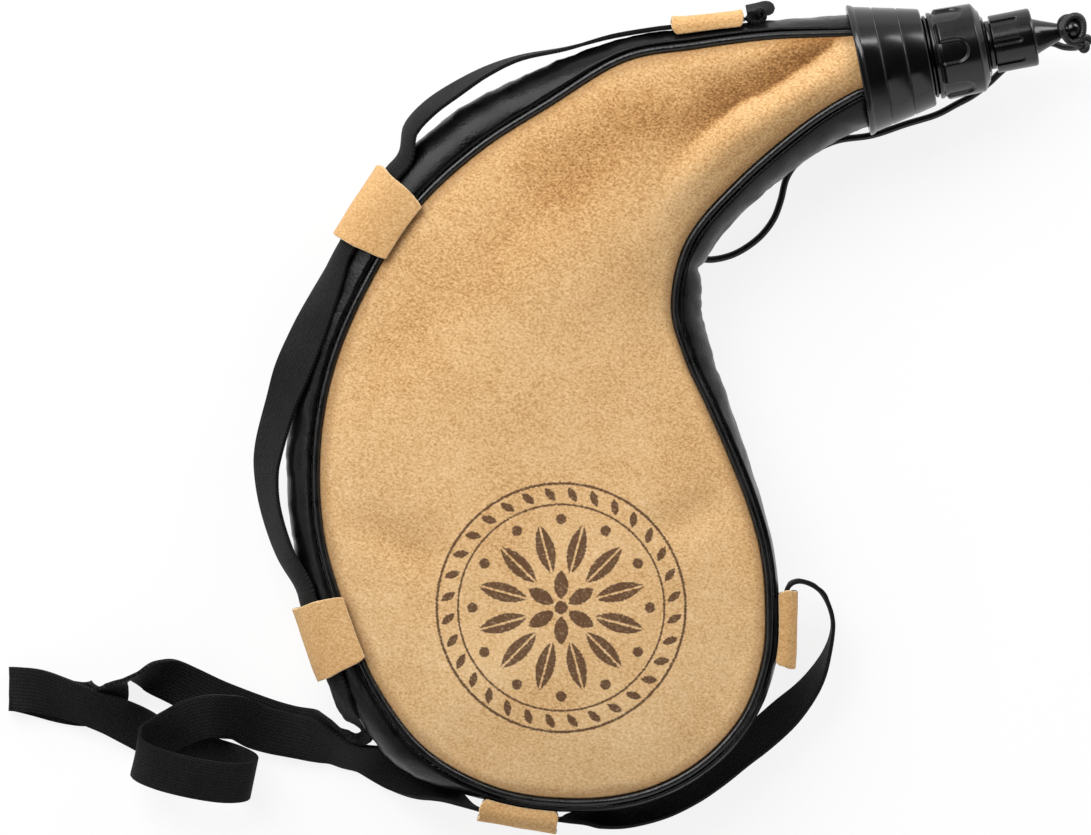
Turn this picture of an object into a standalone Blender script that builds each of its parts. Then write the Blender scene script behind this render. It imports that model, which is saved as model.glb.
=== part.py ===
# A one litre leather drinking bag, lying on its back, with its mouthpiece, belt loops, strap and keeper cord.
# Metres, +Z up. The neck points along +X, turned a little towards +Y.

import math

import bmesh
import bpy
import numpy as np
from mathutils import Euler, Matrix, Vector

# Bag body
BAG_LENGTH = 0.360        # what the shares of the outline below are of
BELLY_DEPTH = 0.042       # thickness of the full belly
SEAM_HEIGHT = 0.025       # back seam to front seam in the belly
GUSSET_BULGE = 0.0132     # how far the side strip swells past the seams, at its fullest
SUEDE = 0.0018            # face leather
GUSSET_WALL = 0.0010
LINER_WALL = 0.0009
LINER_PLAY = 0.0009       # between the liner and the leather
PIPING_RADIUS = 0.0013
GAP = 0.0003              # between pieces that touch
REST_GAP = 0.0001         # between the collar's lip and the table

# Collar and neck, lengths along the mouthpiece's axis from the collar's rim
COLLAR_LENGTH = 0.0254
COLLAR_FLARE = 0.0056     # how much wider its wide end is, under the lip
COLLAR_WALL = 0.0020
COLLAR_EDGE = 0.0005      # rounding of its small end
LIP_HEIGHT = 0.0005
LIP_WIDTH = 0.0024
GROOVE_WIDTH = 0.0008
GROOVE_DEPTH = 0.0004
TUCK = 0.0040             # bag mouth inside the collar
NECK_SWELL = 0.0010       # how much wider the bag's neck is outside the collar
TUBE_RADIUS = 0.0138
TUBE_WALL = 0.0020
TUBE_TAIL = 0.0035        # from the collar's rim to the tube's lower end
TUBE_FLANGE = 0.0020      # width and height of the flange that holds the tube in the collar
BEAD_HEIGHT = 0.0012
BEAD_WIDTH = 0.0016
NECK_RISE = 0.0122        # threaded neck above the bead
LINER_NECK = 0.0090       # liner's neck above the bag's mouth
CLAMP_WALL = 0.0012
CLAMP_WIDTH = 0.0030
TURN_CLEARANCE = 0.0004   # between threads that turn in each other

# Big cap and its washer
FILL_CAP_WALL = 0.0023
FILL_CAP_TAPER = 0.0004
FILL_CAP_TOP = 0.0010     # end wall under the shoulder
FILL_SKIRT_STEP = 0.0008
FILL_SKIRT_WIDTH = 0.0018
FILL_SKIRT_GROOVE = 0.0006
FILL_EDGE = 0.0006        # rounding of the cap's edges
SHOULDER_RADIUS = 0.0109
SHOULDER_STEP = 0.0006
SHOULDER_RISE = 0.0029
FLUTE_COUNT = 6
FLUTE_WIDTH = 0.0084
FLUTE_DEPTH = 0.0010
FLUTE_END = 0.0044        # plain rim past the flutes
FILL_SEAL = 0.0015
FILL_SEAL_WIDTH = 0.0038

# Drinking spout
SPOUT_RADIUS = 0.0080
SPOUT_RING_RADIUS = 0.0088
SPOUT_RING = 0.0016       # shown between the caps
SPOUT_STUB_RADIUS = 0.0076
SPOUT_WALL = 0.0016
SPOUT_FLANGE = 0.0015
STUB_LENGTH = 0.0108
TIP_RADIUS = 0.0030
TIP_LENGTH = 0.0020
JET_RADIUS = 0.0011
JET_LENGTH = 0.0040

# Small cap and its washer
SMALL_CAP_RADIUS = 0.0105
SMALL_CAP_TOP = 0.0026
SMALL_CAP_EDGE = 0.0008
SMALL_SEAL = 0.0013
SLOT_COUNT = 8
SLOT_WIDTH = 0.0020
SLOT_DEPTH = 0.0008
SLOT_END = 0.0048
CONE_RADIUS = 0.0070
CONE_LENGTH = 0.0093
WAIST_RADIUS = 0.0026
WAIST_LENGTH = 0.0030
KNOB_RADIUS = 0.0032

# Keeper cord
CORD_RADIUS = 0.00125
KNOT_RADIUS = 0.0026
KNOT_OFFSET = 0.0056      # middle of the knot from the mouthpiece's axis
KNOT_AHEAD = 0.0028       # middle of the knot past the knob's

# Belt loops and strap
LOOP_WIDTH = 0.0262       # along the seam
LOOP_LEATHER = 0.0018
LOOP_ROOM = 0.0030        # under a loop sewn over both seams
TOP_LOOP_ROOM = 0.0025
BASE_LOOP_ROOM = 0.0056
SIDE_LOOP_ROOM = 0.0046
SMALL_LOOP_HALF = 0.0104  # half the height of a loop sewn to the side strip
STRAP_WIDTH = 0.0160
STRAP_THICKNESS = 0.0013
STRAP_END_LENGTH = 0.0090
STRAP_END_DEPTH = 0.0055
STRAP_END_ROUND = 0.0014
STRAP_END_SET = 0.0024    # how far its middle stands off the strap's line

OVERRUN = 0.0020          # cutters reach this far past what they cut

# Angles
NECK_ANGLE = math.radians(10.9)
UPPER_SEAM_ANGLE = math.radians(44.0)    # seams on the neck's round section, from straight up
LOWER_SEAM_ANGLE = math.radians(27.0)
SHARP_ANGLE = math.radians(35.0)

# Places of the seam's piping along X and Y, each with the matching place on the bag's middle line,
# as shares of BAG_LENGTH: from the neck over the shoulder, round the base and back to the neck's
# inner side.
OUTLINE_SHARES = [
    ((0.079, 0.383), (0.085, 0.323)),
    ((0.005, 0.374), (0.015, 0.285)),
    ((-0.067, 0.361), (-0.050, 0.238)),
    ((-0.141, 0.317), (-0.110, 0.175)),
    ((-0.215, 0.269), (-0.150, 0.115)),
    ((-0.279, 0.208), (-0.168, 0.058)),
    ((-0.326, 0.132), (-0.172, 0.000)),
    ((-0.358, 0.056), (-0.166, -0.060)),
    ((-0.373, -0.025), (-0.155, -0.120)),
    ((-0.370, -0.111), (-0.144, -0.175)),
    ((-0.349, -0.188), (-0.144, -0.175)),
    ((-0.318, -0.263), (-0.144, -0.175)),
    ((-0.268, -0.330), (-0.144, -0.175)),
    ((-0.197, -0.370), (-0.144, -0.175)),
    ((-0.120, -0.382), (-0.144, -0.175)),
    ((-0.049, -0.374), (-0.144, -0.175)),
    ((0.010, -0.345), (-0.144, -0.175)),
    ((0.054, -0.298), (-0.144, -0.175)),
    ((0.076, -0.239), (-0.144, -0.175)),
    ((0.079, -0.180), (-0.144, -0.175)),
    ((0.074, -0.131), (-0.155, -0.120)),
    ((0.061, -0.084), (-0.166, -0.060)),
    ((0.041, -0.033), (-0.172, 0.000)),
    ((0.019, 0.017), (-0.168, 0.058)),
    ((-0.002, 0.063), (-0.150, 0.115)),
    ((-0.015, 0.115), (-0.110, 0.175)),
    ((0.000, 0.178), (-0.050, 0.238)),
    ((0.048, 0.235), (0.015, 0.285)),
    ((0.113, 0.291), (0.085, 0.323)),
]
# The side strip's swell at the same places, of GUSSET_BULGE.
BULGE_SHARES = [
    0.26, 0.31, 0.36, 0.78, 1.00, 0.94, 0.80, 0.70, 0.63, 0.59, 0.70, 0.70, 0.52, 0.12, 0.08,
    0.08, 0.08, 0.08, 0.10, 0.08, 0.08, 0.11, 0.21, 0.33, 0.48, 0.52, 0.36, 0.47, 0.54,
]
# How much of the neck's round section is left, by places counted from the neck's two own.
NECK_BLEND_SHARES = [1.0, 1.0, 0.72, 0.42, 0.20, 0.06]
NECK_SHARE = (0.168, 0.3495)     # middle of the collar's rim, of BAG_LENGTH
OUTSIDE_SHARE = 0.9              # second neck place, outside the rim, of TUCK
GROOVE_SHARES = (0.34, 0.68)     # of COLLAR_LENGTH
CONE_SHARES = [(1.0, 0.0), (0.93, 0.06), (0.70, 0.24), (0.52, 0.50), (0.42, 0.78)]  # radius, length

# Rows and steps
STATION_STEPS = 48
PANEL_SHARES = [0.0, 0.10, 0.27, 0.55, 1.0]   # rows from the seam to the middle line
FLAT_SHARE = 0.55                # the back lies flat from here to the middle line
CROWN_POWER = 2.4
GUSSET_ROWS = 6
LINER_NECK_ROWS = 2
LOOP_ROWS = 12
LOOP_COLUMNS = 4
SEAM_LOOP_POWER = 3.0            # how square the loops' sections are
SMALL_LOOP_POWER = 4.5
TURN_STEPS = 28
ARC_STEPS = 5

# Belt loops: place on the outline counted in its points, whether the ends lie over the seams, and the room
# under the loop.
LOOPS = [
    ("loop_top", 2.80, False, TOP_LOOP_ROOM),
    ("loop_shoulder", 7.24, True, LOOP_ROOM),
    ("loop_hip", 12.27, True, LOOP_ROOM),
    ("loop_base", 15.39, False, BASE_LOOP_ROOM),
    ("loop_side", 20.55, False, SIDE_LOOP_ROOM),
]

# The strap's middle line, the direction of its width and how much its edges bend back, point by point.
STRAP_ROUTE = [
    ((0.0197, 0.1444, 0.0229), (0.00, 0.00, 1.00), 0.0),
    ((0.0155, 0.1438, 0.0228), (0.00, 0.00, 1.00), 0.0),
    ((0.0061, 0.1429, 0.0224), (0.00, 0.00, 1.00), 0.0),
    ((-0.0065, 0.1415, 0.0220), (0.00, 0.00, 1.00), 0.0),
    ((-0.0133, 0.1407, 0.0218), (0.00, 0.00, 1.00), 0.0),
    ((-0.0284, 0.1381, 0.0212), (0.00, 0.00, 1.00), 0.0),
    ((-0.0446, 0.1337, 0.0215), (0.00, -0.05, 1.00), 0.0),
    ((-0.0608, 0.1305, 0.0220), (0.00, -0.10, 1.00), 0.0),
    ((-0.0731, 0.1256, 0.0227), (0.05, -0.20, 0.98), 0.0),
    ((-0.0842, 0.1190, 0.0237), (0.15, -0.27, 0.95), 0.0),
    ((-0.0943, 0.1123, 0.0248), (0.20, -0.28, 0.94), 0.0005),
    ((-0.1015, 0.1048, 0.0257), (0.22, -0.26, 0.94), 0.0012),
    ((-0.1039, 0.0953, 0.0261), (0.24, -0.24, 0.94), 0.0019),
    ((-0.1090, 0.0892, 0.0261), (0.25, -0.23, 0.94), 0.0021),
    ((-0.1175, 0.0773, 0.0261), (0.28, -0.19, 0.94), 0.0021),
    ((-0.1243, 0.0647, 0.0261), (0.30, -0.17, 0.94), 0.0021),
    ((-0.1277, 0.0581, 0.0264), (0.33, -0.17, 0.93), 0.0020),
    ((-0.1321, 0.0457, 0.0280), (0.50, -0.27, 0.82), 0.0012),
    ((-0.1372, 0.0324, 0.0290), (0.66, -0.33, 0.67), 0.0005),
    ((-0.1429, 0.0180, 0.0288), (0.74, -0.30, 0.60), 0.0),
    ((-0.1472, 0.0058, 0.0266), (0.64, -0.20, 0.74), 0.0),
    ((-0.1516, -0.0101, 0.0228), (0.60, -0.05, 0.79), 0.0),
    ((-0.1525, -0.0202, 0.0218), (0.50, 0.03, 0.86), 0.0),
    ((-0.1508, -0.0328, 0.0222), (0.40, 0.10, 0.91), 0.0),
    ((-0.1465, -0.0479, 0.0244), (0.35, 0.10, 0.93), 0.0008),
    ((-0.1407, -0.0598, 0.0262), (0.33, 0.10, 0.94), 0.0018),
    ((-0.1388, -0.0667, 0.0263), (0.32, 0.11, 0.94), 0.0021),
    ((-0.1349, -0.0793, 0.0263), (0.32, 0.12, 0.94), 0.0021),
    ((-0.1297, -0.0923, 0.0256), (0.28, 0.13, 0.95), 0.0020),
    ((-0.1267, -0.0986, 0.0226), (0.12, 0.07, 0.99), 0.0010),
    ((-0.1237, -0.1042, 0.0182), (-0.05, -0.04, 1.00), 0.0003),
    ((-0.1206, -0.1082, 0.0144), (-0.03, -0.02, 1.00), 0.0),
    ((-0.1184, -0.1107, 0.0120), (-0.02, -0.02, 1.00), 0.0),
    ((-0.1180, -0.1125, 0.0108), (0.00, 0.00, 1.00), 0.0),
    ((-0.1201, -0.1139, 0.0096), (0.00, 0.08, 1.00), 0.0),
    ((-0.1238, -0.1140, 0.0086), (0.00, 0.28, 0.96), 0.0),
    ((-0.1282, -0.1136, 0.0069), (0.02, 0.62, 0.78), 0.0),
    ((-0.1325, -0.1131, 0.0047), (0.08, 0.85, 0.52), 0.0),
    ((-0.1368, -0.1124, 0.0024), (0.15, 0.97, 0.15), 0.0),
    ((-0.1426, -0.1116, 0.0012), (0.26, 0.97, 0.00), 0.0),
    ((-0.1480, -0.1103, 0.0011), (0.34, 0.94, 0.00), 0.0),
    ((-0.1541, -0.1084, 0.0011), (0.38, 0.92, 0.00), 0.0),
    ((-0.1631, -0.1051, 0.0011), (0.40, 0.92, 0.00), 0.0),
    ((-0.1721, -0.1015, 0.0011), (0.42, 0.91, 0.00), 0.0),
    ((-0.1807, -0.0974, 0.0017), (0.40, 0.91, 0.10), 0.0),
    ((-0.1883, -0.0938, 0.0036), (0.28, 0.90, 0.35), 0.0),
    ((-0.1948, -0.0920, 0.0070), (0.08, 0.60, 0.80), 0.0),
    ((-0.2002, -0.0927, 0.0088), (0.00, 0.14, 0.99), 0.0),
    ((-0.2041, -0.0941, 0.0089), (-0.02, 0.06, 1.00), 0.0),
    ((-0.2070, -0.0961, 0.0083), (-0.04, 0.36, 0.93), 0.0),
    ((-0.2099, -0.0992, 0.0064), (-0.02, 0.74, 0.67), 0.0),
    ((-0.2135, -0.1017, 0.0036), (0.08, 0.95, 0.28), 0.0),
    ((-0.2182, -0.1028, 0.0019), (0.16, 0.98, 0.08), 0.0),
    ((-0.2232, -0.1024, 0.0011), (0.22, 0.97, 0.00), 0.0),
    ((-0.2290, -0.1012, 0.0011), (0.27, 0.96, 0.00), 0.0),
    ((-0.2354, -0.0994, 0.0011), (0.24, 0.97, 0.00), 0.0),
    ((-0.2423, -0.0977, 0.0011), (0.08, 1.00, 0.00), 0.0),
    ((-0.2454, -0.0973, 0.0025), (0.00, 1.00, 0.00), 0.0),
    ((-0.2423, -0.0974, 0.0039), (0.04, 1.00, 0.00), 0.0),
    ((-0.2354, -0.0981, 0.0052), (0.14, 0.97, 0.18), 0.0),
    ((-0.2261, -0.1006, 0.0072), (0.23, 0.86, 0.46), 0.0),
    ((-0.2167, -0.1039, 0.0090), (0.28, 0.79, 0.55), 0.0),
    ((-0.2081, -0.1071, 0.0074), (0.32, 0.82, 0.47), 0.0),
    ((-0.1998, -0.1111, 0.0050), (0.34, 0.88, 0.33), 0.0),
    ((-0.1922, -0.1154, 0.0043), (0.26, 0.89, 0.38), 0.0),
    ((-0.1840, -0.1188, 0.0046), (0.19, 0.89, 0.42), 0.0),
    ((-0.1735, -0.1219, 0.0048), (0.19, 0.89, 0.42), 0.0),
    ((-0.1634, -0.1251, 0.0070), (0.19, 0.89, 0.42), 0.0),
    ((-0.1580, -0.1280, 0.0110), (0.19, 0.89, 0.42), 0.0),
    ((-0.1591, -0.1303, 0.0163), (0.19, 0.89, 0.42), 0.0),
    ((-0.1674, -0.1307, 0.0206), (0.19, 0.89, 0.42), 0.0),
    ((-0.1800, -0.1287, 0.0223), (0.19, 0.89, 0.42), 0.0),
    ((-0.1922, -0.1255, 0.0206), (0.19, 0.89, 0.42), 0.0),
    ((-0.1993, -0.1219, 0.0163), (0.19, 0.89, 0.42), 0.0),
    ((-0.1975, -0.1177, 0.0114), (0.17, 0.89, 0.42), 0.0),
    ((-0.1915, -0.1143, 0.0100), (0.02, 0.88, 0.45), 0.0),
    ((-0.1847, -0.1107, 0.0114), (-0.13, 0.86, 0.45), 0.0),
    ((-0.1786, -0.1080, 0.0143), (-0.15, 0.90, 0.35), 0.0),
    ((-0.1730, -0.1069, 0.0162), (0.00, 0.95, 0.25), 0.0),
    ((-0.1678, -0.1071, 0.0146), (0.15, 0.95, 0.15), 0.0),
    ((-0.1627, -0.1078, 0.0108), (0.25, 0.93, 0.10), 0.0),
    ((-0.1570, -0.1109, 0.0068), (0.30, 0.92, 0.10), 0.0),
    ((-0.1512, -0.1127, 0.0046), (0.30, 0.93, 0.10), 0.0),
    ((-0.1451, -0.1139, 0.0040), (0.26, 0.94, 0.10), 0.0),
    ((-0.1397, -0.1150, 0.0046), (0.20, 0.94, 0.22), 0.0),
    ((-0.1346, -0.1165, 0.0066), (0.14, 0.86, 0.46), 0.0),
    ((-0.1296, -0.1184, 0.0082), (0.15, 0.68, 0.70), 0.0),
    ((-0.1238, -0.1211, 0.0088), (0.22, 0.55, 0.80), 0.0),
    ((-0.1170, -0.1226, 0.0082), (0.32, 0.58, 0.74), 0.0),
    ((-0.1098, -0.1247, 0.0066), (0.42, 0.76, 0.35), 0.0),
    ((-0.1037, -0.1271, 0.0062), (0.44, 0.86, -0.10), 0.0),
    ((-0.0979, -0.1298, 0.0082), (0.36, 0.80, -0.46), 0.0),
    ((-0.0925, -0.1328, 0.0120), (0.24, 0.58, -0.78), 0.0),
    ((-0.0871, -0.1357, 0.0164), (0.12, 0.30, -0.95), 0.0),
    ((-0.0821, -0.1381, 0.0194), (0.04, 0.10, -1.00), 0.0),
    ((-0.0770, -0.1400, 0.0208), (0.00, 0.00, -1.00), 0.0),
    ((-0.0724, -0.1412, 0.0210), (0.00, 0.00, -1.00), 0.0),
    ((-0.0666, -0.1417, 0.0210), (0.00, 0.00, -1.00), 0.0),
    ((-0.0605, -0.1426, 0.0210), (0.00, 0.00, -1.00), 0.0),
    ((-0.0540, -0.1433, 0.0210), (0.00, 0.00, -1.00), 0.0),
    ((-0.0479, -0.1439, 0.0210), (0.00, 0.00, -1.00), 0.0),
    ((-0.0421, -0.1443, 0.0194), (0.00, 0.08, -1.00), 0.0),
    ((-0.0349, -0.1440, 0.0146), (0.00, 0.35, -0.93), 0.0),
    ((-0.0234, -0.1420, 0.0096), (-0.10, 0.60, -0.79), 0.0),
    ((-0.0108, -0.1384, 0.0074), (-0.20, 0.66, -0.72), 0.0),
    ((0.0000, -0.1332, 0.0068), (-0.32, 0.62, -0.71), 0.0),
    ((0.0090, -0.1271, 0.0068), (-0.39, 0.58, -0.71), 0.0),
    ((0.0176, -0.1202, 0.0068), (-0.42, 0.56, -0.71), 0.0),
    ((0.0259, -0.1138, 0.0069), (-0.43, 0.55, -0.71), 0.0),
    ((0.0342, -0.1064, 0.0072), (-0.45, 0.50, -0.74), 0.0),
    ((0.0410, -0.0994, 0.0080), (-0.38, 0.33, -0.86), 0.0),
    ((0.0461, -0.0922, 0.0086), (-0.28, 0.17, -0.94), 0.0),
    ((0.0500, -0.0835, 0.0092), (-0.10, 0.03, -1.00), 0.0),
    ((0.0517, -0.0756, 0.0104), (0.00, 0.00, -1.00), 0.0),
    ((0.0506, -0.0684, 0.0128), (0.00, 0.00, -1.00), 0.0),
    ((0.0472, -0.0621, 0.0158), (0.00, 0.00, -1.00), 0.0),
    ((0.0425, -0.0590, 0.0186), (0.00, 0.00, -1.00), 0.0),
    ((0.0382, -0.0585, 0.0202), (0.00, 0.00, -1.00), 0.0),
    ((0.0352, -0.0608, 0.0209), (0.00, 0.00, -1.00), 0.0),
    ((0.0346, -0.0655, 0.0210), (0.00, 0.00, -1.00), 0.0),
    ((0.0345, -0.0742, 0.0210), (0.00, 0.00, -1.00), 0.0),
    ((0.0336, -0.0835, 0.0210), (0.00, 0.00, -1.00), 0.0),
]
# Stretches of the strap, by points of the route: its name and its first and last point.
STRAP_STRETCHES = [
    ("strap_upper", 0, 27),
    ("strap_slack", 27, 97),
    ("strap_side", 97, 121),
]

# The keeper cord's middle line, from its knot on the small cap to the back seam.
TETHER_ROUTE = [
    (0.1408, 0.1354, 0.0211),
    (0.1392, 0.1344, 0.0172),
    (0.1352, 0.1346, 0.0132),
    (0.1303, 0.1361, 0.0100),
    (0.1242, 0.1343, 0.0075),
    (0.1181, 0.1307, 0.0062),
    (0.1127, 0.1260, 0.0065),
    (0.1073, 0.1210, 0.0078),
    (0.1019, 0.1170, 0.0088),
    (0.0965, 0.1141, 0.0093),
    (0.0889, 0.1102, 0.0088),
    (0.0781, 0.1069, 0.0070),
    (0.0662, 0.1030, 0.0050),
    (0.0544, 0.1013, 0.0040),
    (0.0468, 0.0983, 0.0032),
    (0.0396, 0.0936, 0.0026),
    (0.0352, 0.0875, 0.0022),
    (0.0331, 0.0795, 0.0020),
    (0.0305, 0.0727, 0.0020),
    (0.0259, 0.0666, 0.0020),
    (0.0198, 0.0619, 0.0020),
    (0.0140, 0.0592, 0.0022),
    (0.0076, 0.0580, 0.0028),
    (0.0028, 0.0588, 0.0042),
    (0.0000, 0.0605, 0.0053),
]
TETHER_STRETCHES = [
    ("tether_lead", 0, 9),
    ("tether_loop", 9, 24),
]
ROUTE_STEPS = 2           # sections between two points of a route

# Sizes worked out from the ones above
half_belly = BELLY_DEPTH / 2
seam_offset = PIPING_RADIUS + GAP
collar_top_radius = TUBE_RADIUS + TUBE_FLANGE + COLLAR_WALL
collar_wide_radius = collar_top_radius + COLLAR_FLARE
bead_radius = TUBE_RADIUS + BEAD_HEIGHT
fill_cap_radius = TUBE_RADIUS + TURN_CLEARANCE + FILL_CAP_WALL
fill_skirt_radius = fill_cap_radius - FILL_SKIRT_STEP
neck_height = collar_wide_radius + LIP_HEIGHT + REST_GAP
axis = Vector((math.cos(NECK_ANGLE), math.sin(NECK_ANGLE), 0.0))
across = Vector((-axis.y, axis.x, 0.0))
neck_point = Vector((NECK_SHARE[0] * BAG_LENGTH, NECK_SHARE[1] * BAG_LENGTH, neck_height))
facet = math.cos(math.pi / TURN_STEPS)   # flat of a turned piece's facets, of its corners


def collar_radius(height):
    share = height / COLLAR_LENGTH
    return collar_wide_radius + (collar_top_radius - collar_wide_radius) * share


mouth_radius = (collar_radius(TUCK) - COLLAR_WALL) * facet - seam_offset
outside_radius = mouth_radius + NECK_SWELL
shelf = COLLAR_LENGTH - COLLAR_WALL                     # underside of the collar's end wall
bead_bottom = COLLAR_LENGTH + GAP
fill_cap_bottom = bead_bottom + BEAD_WIDTH + GAP
tube_top = bead_bottom + BEAD_WIDTH + NECK_RISE
fill_seal_bottom = tube_top + GAP
spout_bottom = fill_seal_bottom + FILL_SEAL + GAP
fill_cap_ceiling = spout_bottom + SPOUT_FLANGE + GAP
shoulder = fill_cap_ceiling + FILL_CAP_TOP
fill_cap_top = shoulder + SHOULDER_RISE
small_cap_bottom = fill_cap_top + GAP + SPOUT_RING + GAP
stub_bottom = small_cap_bottom - GAP
stub_top = stub_bottom + STUB_LENGTH
small_seal_bottom = stub_top + GAP
small_cap_ceiling = small_seal_bottom + SMALL_SEAL + GAP
tip_pocket_top = max(stub_top + TIP_LENGTH + GAP, small_cap_ceiling + GAP)
small_cap_top = small_cap_ceiling + SMALL_CAP_TOP
waist = small_cap_top + CONE_LENGTH
knob = waist + WAIST_LENGTH + math.sqrt(KNOB_RADIUS ** 2 - WAIST_RADIUS ** 2)
liner_rows = 2 * (len(PANEL_SHARES) + 1)
liner_radius = (TUBE_RADIUS + GAP) / math.cos(math.pi / (2 * liner_rows)) + LINER_WALL


def clear_scene():
    for item in list(bpy.data.objects):
        bpy.data.objects.remove(item)


def new_collection(name):
    collection = bpy.data.collections.new(name)
    bpy.context.scene.collection.children.link(collection)
    return collection


def new_material(name, colour, roughness, metallic=0.0):
    material = bpy.data.materials.new(name)
    material.use_nodes = True
    shader = material.node_tree.nodes["Principled BSDF"]
    shader.inputs["Base Color"].default_value = (*colour, 1.0)
    shader.inputs["Roughness"].default_value = roughness
    shader.inputs["Metallic"].default_value = metallic
    return material


def put(collection, name, data, material=None, parent=None):
    item = bpy.data.objects.new(name, data)
    collection.objects.link(item)
    if material:
        data.materials.append(material)
    item.parent = parent
    return item


def curve_point(points, place):
    # A smooth curve through the points, read at a place counted in points.
    last = len(points) - 1
    index = min(int(place), last - 1)
    share = place - index
    start, end = points[index], points[index + 1]
    before = points[index - 1] if index else 2 * start - end
    after = points[index + 2] if index + 2 <= last else 2 * end - start
    value = start + 0.5 * share * (
        end - before
        + share * (2 * before - 5 * start + 4 * end - after + share * (3 * (start - end) + after - before))
    )
    slope = 0.5 * (
        end - before
        + share * (2 * (2 * before - 5 * start + 4 * end - after)
                   + share * 3 * (3 * (start - end) + after - before))
    )
    return value, slope


def neck_row(height, radius, angle, side):
    # Seam, middle line, swell, half seam height, half depth, middle height and seam tilt at the neck.
    middle = neck_point + axis * height
    seam = middle + across * side * radius * math.sin(angle)
    bulge = radius - radius * math.sin(angle) - seam_offset * math.cos(angle)
    return [seam.x, seam.y, middle.x, middle.y, bulge, radius * math.cos(angle), radius + GAP,
            neck_height, angle]


def outline_rows():
    count = len(OUTLINE_SHARES)
    rows = []
    for index, ((seam_x, seam_y), (middle_x, middle_y)) in enumerate(OUTLINE_SHARES):
        side = 1 if index < count / 2 else -1
        from_neck = min(index, count - 1 - index) + 2
        blend = NECK_BLEND_SHARES[from_neck] if from_neck < len(NECK_BLEND_SHARES) else 0.0
        angle = UPPER_SEAM_ANGLE if side > 0 else LOWER_SEAM_ANGLE
        half = blend * outside_radius * math.cos(angle) + (1 - blend) * SEAM_HEIGHT / 2
        depth = blend * outside_radius + (1 - blend) * half_belly
        middle_height = blend * neck_height + (1 - blend) * half_belly
        seam_and_middle = [share * BAG_LENGTH for share in (seam_x, seam_y, middle_x, middle_y)]
        bulge = BULGE_SHARES[index] * GUSSET_BULGE
        rows.append(seam_and_middle + [bulge, half, depth, middle_height, blend ** 2 * angle])
    outside = -OUTSIDE_SHARE * TUCK
    beyond = 2 * TUCK - outside
    ends = [(beyond, outside_radius), (TUCK, mouth_radius), (outside, outside_radius)]
    upper = [neck_row(height, radius, UPPER_SEAM_ANGLE, 1) for height, radius in ends]
    lower = [neck_row(height, radius, LOWER_SEAM_ANGLE, -1) for height, radius in reversed(ends)]
    return np.array(upper + rows + lower)


class Station:
    # The bag's section at one place of the outline, on a plane square to the seam.

    def __init__(self, rows, place):
        value, slope = curve_point(rows, place + 1)
        self.seam = Vector((value[0], value[1], 0.0))
        index = min(int(place) + 1, len(rows) - 2)
        middle = rows[index][2:4] + (rows[index + 1][2:4] - rows[index][2:4]) * (place + 1 - index)
        self.middle = Vector((*middle, 0.0))
        self.bulge, self.half, self.depth, self.height, self.tilt = value[4:]
        along = Vector((slope[0], slope[1], 0.0))
        self.spacing = along.length
        along.normalize()
        self.outward = Vector((along.y, -along.x, 0.0))
        self.lean = seam_offset * math.cos(self.tilt)
        self.lift = seam_offset * math.sin(self.tilt)
        side_half = self.half - self.lift
        self.radius = (side_half ** 2 + self.bulge ** 2) / (2 * self.bulge)
        self.centre = self.lean + self.bulge - self.radius
        self.angle = math.atan2(side_half, self.radius - self.bulge)

    def point(self, distance, height):
        return self.seam + self.outward * distance + Vector((0.0, 0.0, self.height + height))

    def panel(self, share, side, inset=0.0):
        # On a face of the bag, from the seam at 0 to the middle line at 1.
        edge = self.seam - self.outward * self.lean
        edge_height = self.half + self.lift
        reach = share if side > 0 else min(share / FLAT_SHARE, 1.0)
        rise = 1 - (1 - reach) ** CROWN_POWER
        height = edge_height + (self.depth - edge_height) * rise - inset
        place = edge.lerp(self.middle, share)
        return place + Vector((0.0, 0.0, self.height + side * height))

    def strip(self, share, inset=0.0):
        # On the side strip, from the back seam at -1 to the front seam at 1.
        angle = share * self.angle
        radius = self.radius - inset
        return self.point(self.centre + radius * math.cos(angle), radius * math.sin(angle))

    def outside(self, height=0.0):
        # How far the side strip's outer face stands from the seam's line at a height.
        radius = self.radius + GUSSET_WALL
        return self.centre + math.sqrt(radius ** 2 - height ** 2)


def sheet(collection, name, points, material):
    # A sheet through a table of points, columns along the first index and rows along the second.
    columns, rows = len(points) - 1, len(points[0]) - 1
    mesh = bpy.data.meshes.new(name)
    shape = bmesh.new()
    bmesh.ops.create_grid(shape, x_segments=columns, y_segments=rows, size=1.0)
    for vertex in shape.verts:
        column = round((vertex.co.x + 1) / 2 * columns)
        row = round((vertex.co.y + 1) / 2 * rows)
        vertex.co = points[column][row]
    bmesh.ops.remove_doubles(shape, verts=shape.verts, dist=GAP / 10)
    shape.to_mesh(mesh)
    shape.free()
    mesh.shade_smooth()
    return put(collection, name, mesh, material)


def thicken(item, thickness, offset):
    wall = item.modifiers.new("wall", "SOLIDIFY")
    wall.thickness = thickness
    wall.offset = offset
    wall.use_even_offset = True
    return item


def tube(collection, name, points, radius, material):
    curve = bpy.data.curves.new(name, "CURVE")
    curve.dimensions = "3D"
    curve.bevel_depth = radius
    curve.bevel_resolution = 2
    curve.use_fill_caps = True
    spline = curve.splines.new("POLY")
    spline.points.add(len(points) - 1)
    for target, point in zip(spline.points, points):
        target.co = (*point, 1.0)
    return put(collection, name, curve, material)


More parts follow.
